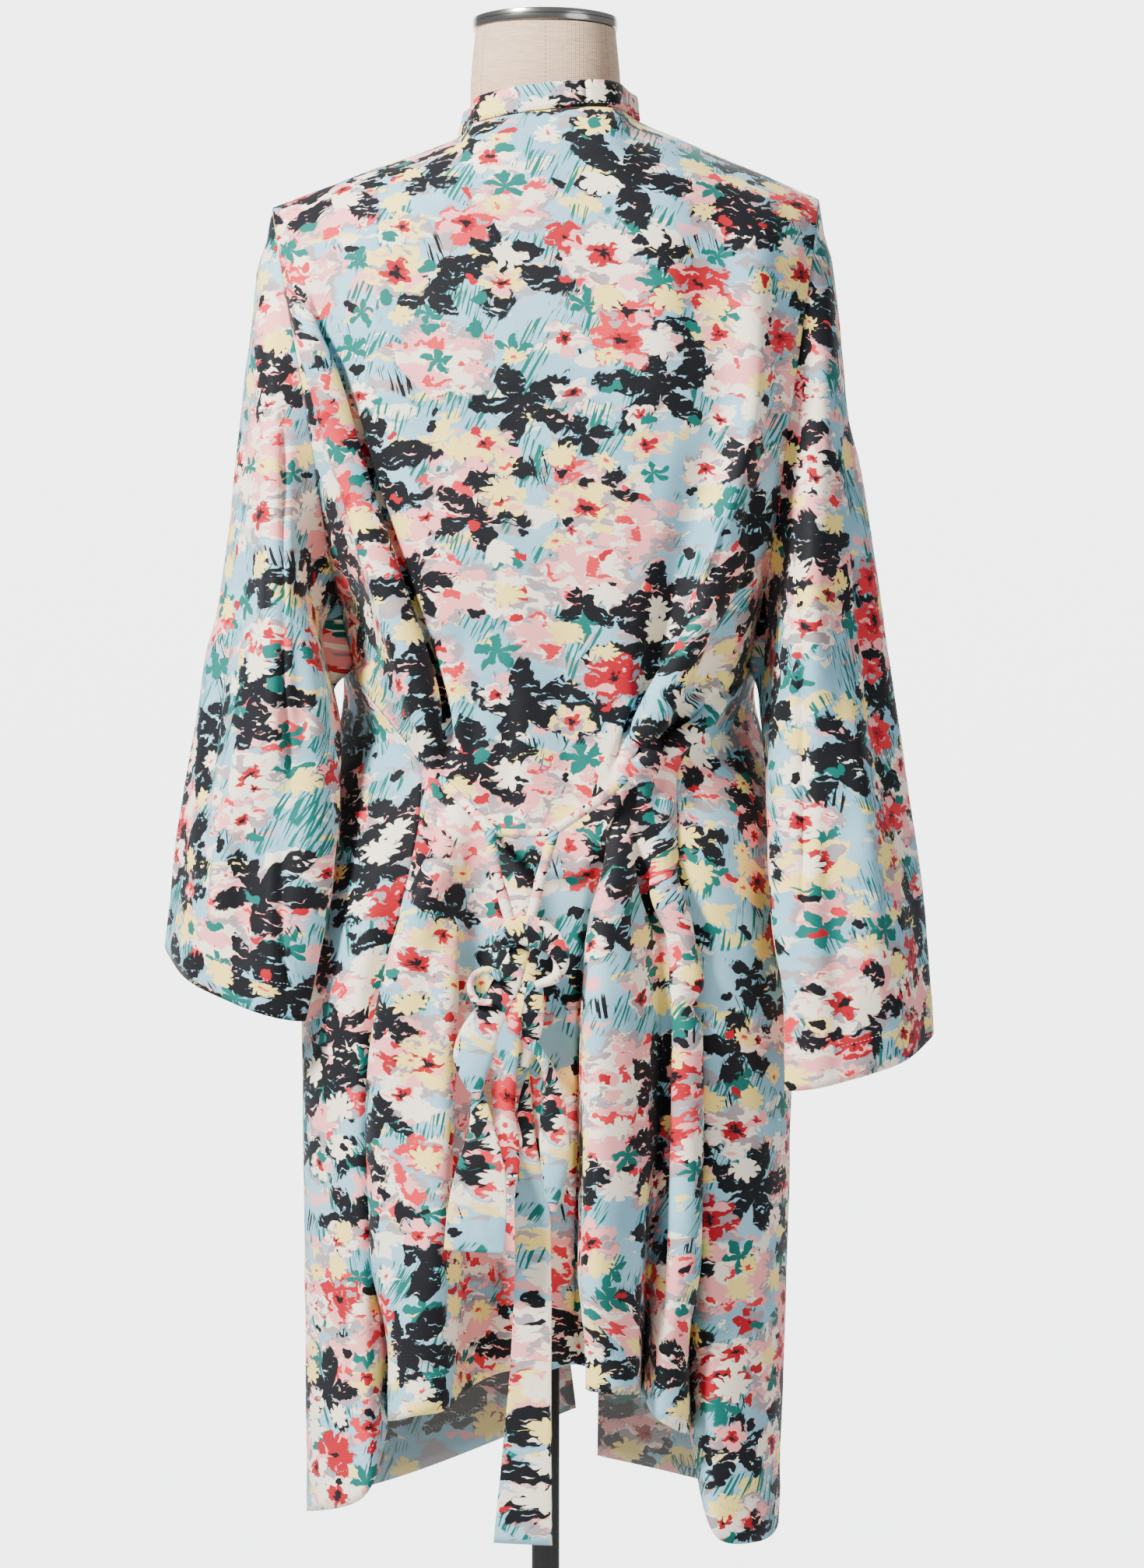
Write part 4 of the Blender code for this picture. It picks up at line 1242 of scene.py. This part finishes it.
def hem_thickness(grid):
    """The wall is thicker where the hem is turned up."""
    down = arc_lengths(grid, 0)
    to_hem = down[-1] - down
    turned_up = 1 - soft_step(HEM_DEPTH - 2 * MM, HEM_DEPTH + 2 * MM, to_hem)
    return CLOTH + HEM_EXTRA * turned_up


def line_above_hem(grid, normals, height):
    """Points of the outer face at a height above the hem, measured along the cloth."""
    down = arc_lengths(grid, 0)
    points, away = [], []
    for c in range(grid.shape[1]):
        place = down[-1, c] - height
        points.append([np.interp(place, down[:, c], grid[:, c, i]) for i in range(3)])
        away.append([np.interp(place, down[:, c], normals[:, c, i]) for i in range(3)])
    return np.array(points), unit(np.array(away))


def even_steps(points, away, pitch):
    """Points and normals at even steps along a line."""
    run = run_along(points)
    places = np.arange(0, run[-1], pitch)
    even = np.stack([np.interp(places, run, points[:, i]) for i in range(3)], axis=1)
    normals = np.stack([np.interp(places, run, away[:, i]) for i in range(3)], axis=1)
    return even, unit(normals)


def stitches(name, lines, material):
    """Rows of short raised stitches along lines of points and normals."""
    vertices, faces = [], []
    for points, away in lines:
        even, normals = even_steps(points, away, STITCH_PITCH)
        along = unit(np.gradient(even, axis=0))
        side = unit(np.cross(along, normals))
        for p, t, n, s in zip(even, along, normals, side):
            first = len(vertices)
            vertices += [
                p - t * STITCH_LENGTH / 2,
                p + s * STITCH_RADIUS,
                p + n * STITCH_RADIUS * 1.4,
                p - s * STITCH_RADIUS,
                p - n * STITCH_RADIUS,
                p + t * STITCH_LENGTH / 2,
            ]
            for k in range(4):
                a, b = first + 1 + k, first + 1 + (k + 1) % 4
                faces += [(first, b, a), (first + 5, a, b)]
    return new_object(name, vertices, faces, [material])


def overlock(name, lines, material):
    """Zigzag of thread over a raw edge, along lines of points and normals."""
    vertices, faces = [], []
    for points, away in lines:
        even, normals = even_steps(points, away, OVERLOCK_PITCH)
        along = unit(np.gradient(even, axis=0))
        side = unit(np.cross(along, normals))
        swing = np.where(np.arange(len(even)) % 2 == 0, 1.0, -1.0)[:, None]
        path = even + side * swing * OVERLOCK_WIDTH / 2
        across_path = np.cross(unit(np.gradient(path, axis=0)), normals)
        first = len(vertices)
        r = OVERLOCK_RADIUS
        for p, n, s in zip(path, normals, across_path):
            vertices += [p + s * r, p + n * r, p - s * r, p - n * r]
        for i in range(len(path) - 1):
            for k in range(4):
                a, b = first + i * 4 + k, first + i * 4 + (k + 1) % 4
                faces.append((a, b, b + 4, a + 4))
        faces.append((first, first + 1, first + 2, first + 3))
        last = len(vertices) - 4
        faces.append((last + 3, last + 2, last + 1, last))
    return new_object(name, vertices, faces, [material])


def inset_columns(grid, first, last):
    """Draws the seam edges back by half the gap."""
    out = grid.copy()
    if first:
        out[:, 0] += unit(grid[:, 1] - grid[:, 0]) * SEAM_GAP / 2
    if last:
        out[:, -1] += unit(grid[:, -2] - grid[:, -1]) * SEAM_GAP / 2
    return out


def inset_top(grid):
    out = grid.copy()
    out[0] += unit(grid[1] - grid[0]) * SEAM_GAP / 2
    return out


def edge_fade(grid, first, last):
    """Keeps creases off the top and off the side edges that meet other panels."""
    fade = soft_step(0, EDGE_REACH, arc_lengths(grid, 0))
    run = arc_lengths(grid, 1)
    if first:
        fade = fade * soft_step(0, EDGE_REACH, run)
    if last:
        fade = fade * soft_step(0, EDGE_REACH, run[:, -1:] - run)
    return fade


def hem_threads(shaped, normals):
    """Where the stitches lie on the hem, and the overlock on its raw edge inside."""
    line, outer = line_above_hem(shaped, normals, HEM_DEPTH - STITCH_BELOW)
    raw, inner = line_above_hem(shaped, normals, HEM_DEPTH + RAW_ABOVE)
    return (line + outer * STITCH_LIFT, outer), (raw - inner * OVERLOCK_LIFT, -inner)


def build_jacket(right_side, wrong_side, thread, edge_thread):
    back, left, right = body_grids()
    sleeves = []
    for side, sections, front, column in (
        ("left", LEFT_SLEEVE_SECTIONS, left, 0),
        ("right", RIGHT_SLEEVE_SECTIONS, right, -1),
    ):
        loop = armhole_loop(back[:, column], front[:, 0])
        sleeves.append((side, sleeve_grid(sections, loop)))

    threads = []
    centre = CENTRE_LINE * COLUMN_STEPS
    for name, grid, creases, zero, far_seam, seed in (
        ("back_panel", back, BACK_CREASES, centre, True, 3),
        ("front_left", left, FRONT_CREASES, left.shape[1] - 1, False, 5),
        ("front_right", right, FRONT_CREASES, right.shape[1] - 1, False, 8),
    ):
        normals = grid_normals(grid)
        on_front = name != "back_panel"
        facing = soft_step(*FRONT_FACING, grid[..., 1]) if on_front else 1
        height = crease_height(grid, creases) * facing
        uv = flat_places(grid + normals * height[..., None], zero)
        height += cloth_ripples(grid, seed)
        height *= edge_fade(grid, True, far_seam)
        shaped = grid + normals * height[..., None]
        shaped = inset_top(inset_columns(shaped, True, far_seam))
        normals = grid_normals(shaped)
        materials = (right_side[name], wrong_side)
        item = cloth_wall(name + "_cloth", shaped, normals, hem_thickness(shaped), uv, materials)
        declare_cloth(item, name)
        threads.append(hem_threads(shaped, normals))

    sleeve_creases = (LEFT_SLEEVE_CREASES, RIGHT_SLEEVE_CREASES)
    for (side, grid), creases, seed in zip(sleeves, sleeve_creases, (13, 17)):
        half = grid.shape[1] // 2
        grid = np.roll(grid, half, axis=1)
        normals = grid_normals(grid, wrap=True)
        height = crease_height(grid, creases)
        height += cloth_ripples(grid, seed)
        height *= edge_fade(grid, False, False)
        shaped = inset_top(grid + normals * height[..., None])
        normals = grid_normals(shaped, wrap=True)
        around = np.concatenate((grid, grid[:, :1]), axis=1)
        uv = sleeve_places(around, half)
        name = "sleeve_" + side
        materials = (right_side[name], wrong_side)
        wall = hem_thickness(shaped)
        item = cloth_wall(name + "_cloth", shaped, normals, wall, uv, materials, wrap=True)
        declare_cloth(item, name)
        threads.append(hem_threads(shaped, normals))

    topstitch, zigzag = zip(*threads)
    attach(stitches("hem_topstitch", topstitch, thread), "root")
    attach(overlock("hem_overlock", zigzag, edge_thread), "root")
    return back, left, right


def neck_path(back, left, right):
    """Neckline from the left front's lower end round the neck to the right one's."""
    def upper(edge):
        return edge[edge[:, 2] > BAND_END_Z]

    left_neck = LEFT_NECK_LINE * COLUMN_STEPS
    right_neck = RIGHT_NECK_LINE * COLUMN_STEPS
    return np.concatenate((
        upper(left[:, -1])[::-1],
        back[0, left_neck + 1:right_neck],
        upper(right[:, -1]),
    ))


def build_neckband(materials, thread, back, left, right):
    """Folded band round the neck, with its seams and a row of stitches."""
    path = neck_path(back, left, right)
    tangent = unit(np.gradient(path, axis=0))
    drop = np.clip((path[:, 2].max() - path[:, 2]) / BAND_LIES_FLAT, 0, 1)[:, None]
    to_middle = -path * np.array((1, 0, 0))
    up = np.array((0, 0, 1.0)) + unit(-path * np.array((1, 1, 0))) * BAND_LEAN
    wish = unit(up) * (1 - drop) + unit(to_middle) * drop
    rise = unit(wish - tangent * np.sum(wish * tangent, axis=1, keepdims=True))
    normal = unit(np.cross(tangent, rise))
    if np.sum(normal * path * np.array((1, 1, 0))) < 0:
        normal *= -1
    ends = np.clip((path[:, 2] - BAND_END_Z) / BAND_TAPER, BAND_END_SHARE, 1)[:, None]
    width = BAND_WIDTH * ends
    start = path + rise * (BAND_STANDS_OFF + SEAM_GAP)
    shares = np.linspace(0, 1, BAND_ROWS)
    grid = np.stack([start + rise * width * k for k in shares])
    normals = np.stack([normal] * BAND_ROWS)
    waves = ripples(grid, 23, *BAND_RIPPLE) * np.sin(math.pi * shares)[:, None]
    grid = grid + normals * waves[..., None]
    thickness = BAND_WALL * np.array(BAND_PROFILE)[:, None] * np.ones(len(path))

    behind = [i for i in range(len(path)) if path[i, 1] < 0]
    seam = min(behind, key=lambda i: abs(path[i, 0] - BAND_SEAM_X))
    uv = band_places(grid, seam)
    for name, span, first, last in (
        ("neckband_left", slice(0, seam + 1), False, True),
        ("neckband_right", slice(seam, None), True, False),
    ):
        piece = inset_columns(grid[:, span], first, last)
        material = materials[name]
        wall = thickness[:, span]
        item = cloth_wall(name + "_cloth", piece, normals[:, span], wall, uv[:, span], (material,) * 2)
        declare_cloth(item, name)
    line = grid[1] + normals[1] * BAND_WALL * 0.5
    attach(stitches("neckband_stitch", [(line, normals[1])], thread), "root")


def rolled(width, thickness, turns):
    """Section of cloth rolled up this many turns inside an oval; under one, it is cupped."""
    a, b = (width - BELT_CLOTH) / 2, (thickness - BELT_CLOTH) / 2
    place = np.linspace(0, 1, BELT_SIDES)
    angle = math.pi / 2 + 2 * math.pi * turns * (place - 0.5)
    inward = BELT_TURN_GAP * turns * (1 - place) * soft_step(0.6, 1.0, turns)
    x = np.cos(angle) * np.maximum(a - inward, BELT_CORE * a)
    y = np.sin(angle) * np.maximum(b - inward, BELT_CORE * b)
    return np.stack((x, y), axis=1)


def belt_section(width, thickness):
    """Section with as many turns as bring the belt's whole width into these sizes."""
    low, high = BELT_LEAST_TURNS, BELT_MOST_TURNS
    for _ in range(BELT_HALVINGS):
        turns = (low + high) / 2
        section = rolled(width, thickness, turns)
        if run_along(section)[-1] < BELT_WIDTH:
            low = turns
        else:
            high = turns
    return section[:, 0], section[:, 1]


def build_belt(name, rows, material):
    """One stretch of the belt along its path."""
    path = rounded_line(np.array(rows, float) * MM, BELT_STEPS)
    centre = path[:, :3]
    run = run_along(centre)
    tangent = unit(np.gradient(centre, axis=0))
    side = unit(np.cross(tangent, np.array((0, -1.0, 0))))
    face = np.cross(side, tangent)
    if np.sum(face[:, 1]) > 0:
        face = -face
    grid = []
    for i in range(len(path)):
        x, y = belt_section(path[i, 3], path[i, 4])
        grid.append(centre[i] + side[i] * x[:, None] + face[i] * y[:, None])
    grid = np.array(grid)
    across_step = np.gradient(grid, axis=1)
    normals = unit(np.cross(across_step, np.gradient(grid, axis=0)))
    grid = grid + normals * ripples(grid, len(name), *BELT_RIPPLE)[..., None]
    place = np.linspace(0, BELT_WIDTH, BELT_SIDES)
    uv = np.stack(np.broadcast_arrays(place[None, :], -run[:, None]), axis=-1)
    item = cloth_wall(name + "_cloth", grid, normals, BELT_CLOTH, uv, (material, material))
    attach(item, "root")
    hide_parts(name)


def declare_cloth(item, name):
    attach(item, "root")
    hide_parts(name)


def build_form(linen, thread):
    """Smooth limbless torso with its seams."""
    table = np.array(FORM_SECTIONS, float) * MM
    z_rows = np.concatenate((
        np.linspace(table[0, 0], FORM_ROWS_Z, FORM_ROWS * 2 // 3, endpoint=False),
        np.linspace(FORM_ROWS_Z, table[-1, 0], FORM_ROWS // 3),
    ))
    half, back, front = (smooth_curve(table[:, 0], table[:, i], z_rows) for i in (1, 2, 3))
    angle = np.arange(FORM_SIDES) * 2 * math.pi / FORM_SIDES
    s, c = np.sin(angle), np.cos(angle)
    power = 2 / FORM_POWER
    x = half[:, None] * np.copysign(np.abs(s) ** power, s)
    y = np.where(c > 0, back[:, None], front[:, None]) * -np.copysign(np.abs(c) ** power, c)
    vertices = np.stack((x, y, np.broadcast_to(z_rows[:, None], x.shape)), axis=-1)
    faces = []
    for r in range(len(z_rows) - 1):
        for k in range(FORM_SIDES):
            a, b = r * FORM_SIDES + k, r * FORM_SIDES + (k + 1) % FORM_SIDES
            faces.append((a, b, b + FORM_SIDES, a + FORM_SIDES))
    last = (len(z_rows) - 1) * FORM_SIDES
    faces.append(tuple(reversed(range(FORM_SIDES))))
    faces.append(tuple(range(last, last + FORM_SIDES)))
    item = new_object("form_torso_linen", vertices.reshape(-1, 3), faces, [linen])
    item.data.set_sharp_from_angle(angle=math.radians(50))
    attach(item, "root")
    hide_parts("form_torso")
    lines = []
    for share in FORM_SEAMS:
        line = vertices[:, int(share * FORM_SIDES)]
        away = unit(line * np.array((1, 1, 0)))
        lines.append((line + away * 0.1 * MM, away))
    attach(stitches("form_seams", lines, thread), "root")


def turned(name, profile, material, replaced):
    """Turned piece from an outline of radius and height, run from top to bottom."""
    vertices, faces = [], []
    for r, z in profile:
        for k in range(TURNED_SIDES):
            angle = 2 * math.pi * k / TURNED_SIDES
            vertices.append((r * MM * math.cos(angle), r * MM * math.sin(angle), z * MM))
    for i in range(len(profile) - 1):
        for k in range(TURNED_SIDES):
            a, b = i * TURNED_SIDES + k, i * TURNED_SIDES + (k + 1) % TURNED_SIDES
            faces.append((a, a + TURNED_SIDES, b + TURNED_SIDES, b))
    item = new_object(name, vertices, faces, [material])
    face_out(item, merge=1e-6)
    item.data.set_sharp_from_angle(angle=math.radians(35))
    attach(item, "root")
    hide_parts(replaced)
    return item


def area_light(name, place, target, size, power, colour):
    data = bpy.data.lights.new(name, "AREA")
    data.shape = "DISK"
    data.size = size
    data.energy = power
    data.color = colour
    item = bpy.data.objects.new(name, data)
    item.location = place
    aim = np.array(target) - np.array(place)
    flat = math.hypot(aim[0], aim[1])
    item.rotation_euler = (math.atan2(flat, -aim[2]), 0, math.atan2(aim[1], aim[0]) - math.pi / 2)
    bpy.context.scene.collection.objects.link(item)


def build_studio():
    graph = Graph(bpy.data.worlds.new("studio"), "Background")
    place = graph.node("TexCoord", output="Generated")
    heading = graph.node("SeparateXYZ", {0: place}).node.outputs
    glow = graph.node("MapRange", {
        "Value": heading[1],
        "From Min": math.cos(BACKDROP_WIDE),
        "From Max": math.cos(BACKDROP_NARROW),
        "To Min": AMBIENT,
        "To Max": BACKDROP_STRENGTH,
    }, interpolation_type="SMOOTHSTEP")
    rise = graph.node("MapRange", {
        "Value": heading[2], "From Min": -BACKDROP_RISE, "From Max": BACKDROP_RISE,
    })
    colour = graph.node("ValToRGB", {0: rise})
    ends = colour.node.color_ramp.elements
    ends[0].color = srgb(BACKDROP_LOW)
    ends[1].color = srgb(BACKDROP_HIGH)
    bpy.context.scene.world = graph.finish({"Color": colour, "Strength": glow})

    graph = new_graph("floor")
    tone = graph.noise(graph.node("TexCoord", output="Object"), 3, 3)
    floor = graph.finish({
        "Base Color": graph.mix(tone, srgb(FLOOR), srgb(FLOOR_LIGHT)), "Roughness": 0.7,
    })
    vertices, faces = [(0, 0, FLOOR_Z)], []
    for k in range(TURNED_SIDES):
        angle = 2 * math.pi * k / TURNED_SIDES
        vertices.append((FLOOR_RADIUS * math.cos(angle), FLOOR_RADIUS * math.sin(angle), FLOOR_Z))
        faces.append((0, 1 + k, 1 + (k + 1) % TURNED_SIDES))
    new_object("floor", vertices, faces, [floor])

    for light in LIGHTS:
        area_light(*light)

    data = bpy.data.cameras.new("camera")
    data.sensor_fit = "VERTICAL"
    data.sensor_height = SENSOR
    data.lens = SENSOR * -CAMERA_PLACE[1] / (IMAGE_HEIGHT * METRES_PER_PIXEL)
    camera = bpy.data.objects.new("camera", data)
    camera.location = CAMERA_PLACE
    camera.rotation_euler = (math.pi / 2, 0, 0)
    bpy.context.scene.collection.objects.link(camera)
    bpy.context.scene.camera = camera


def main():
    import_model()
    build_studio()

    cloth = {}
    for i, name in enumerate(PRINTED):
        cloth[name] = cloth_material("print_" + name, (0.37 * i, 0.23 * i))
    wrong_side = cloth_material("print_wrong_side", (0.61, 0.4), wrong=True)
    thread = thread_material("thread", THREAD)
    edge_thread = thread_material("overlock_thread", OVERLOCK)
    back, left, right = build_jacket(cloth, wrong_side, thread, edge_thread)
    cloth["neckband_left"] = cloth["neckband_right"] = cloth["band"]
    build_neckband(cloth, thread, back, left, right)
    for name, rows in STRIPS.items():
        build_belt(name, rows, cloth["belt"])

    build_form(linen_material(), thread_material("form_thread", LINEN_DARK))
    metal, black = metal_material(), black_material()
    turned("neck_rim_turned", RIM_PROFILE, metal, "neck_rim")
    turned("collar_turned", COLLAR_PROFILE, black, "pole_collar")
    turned("pole_turned", POLE_PROFILE, black, "stand_pole")
    turned("base_turned", BASE_PROFILE, black, "stand_base")


main()
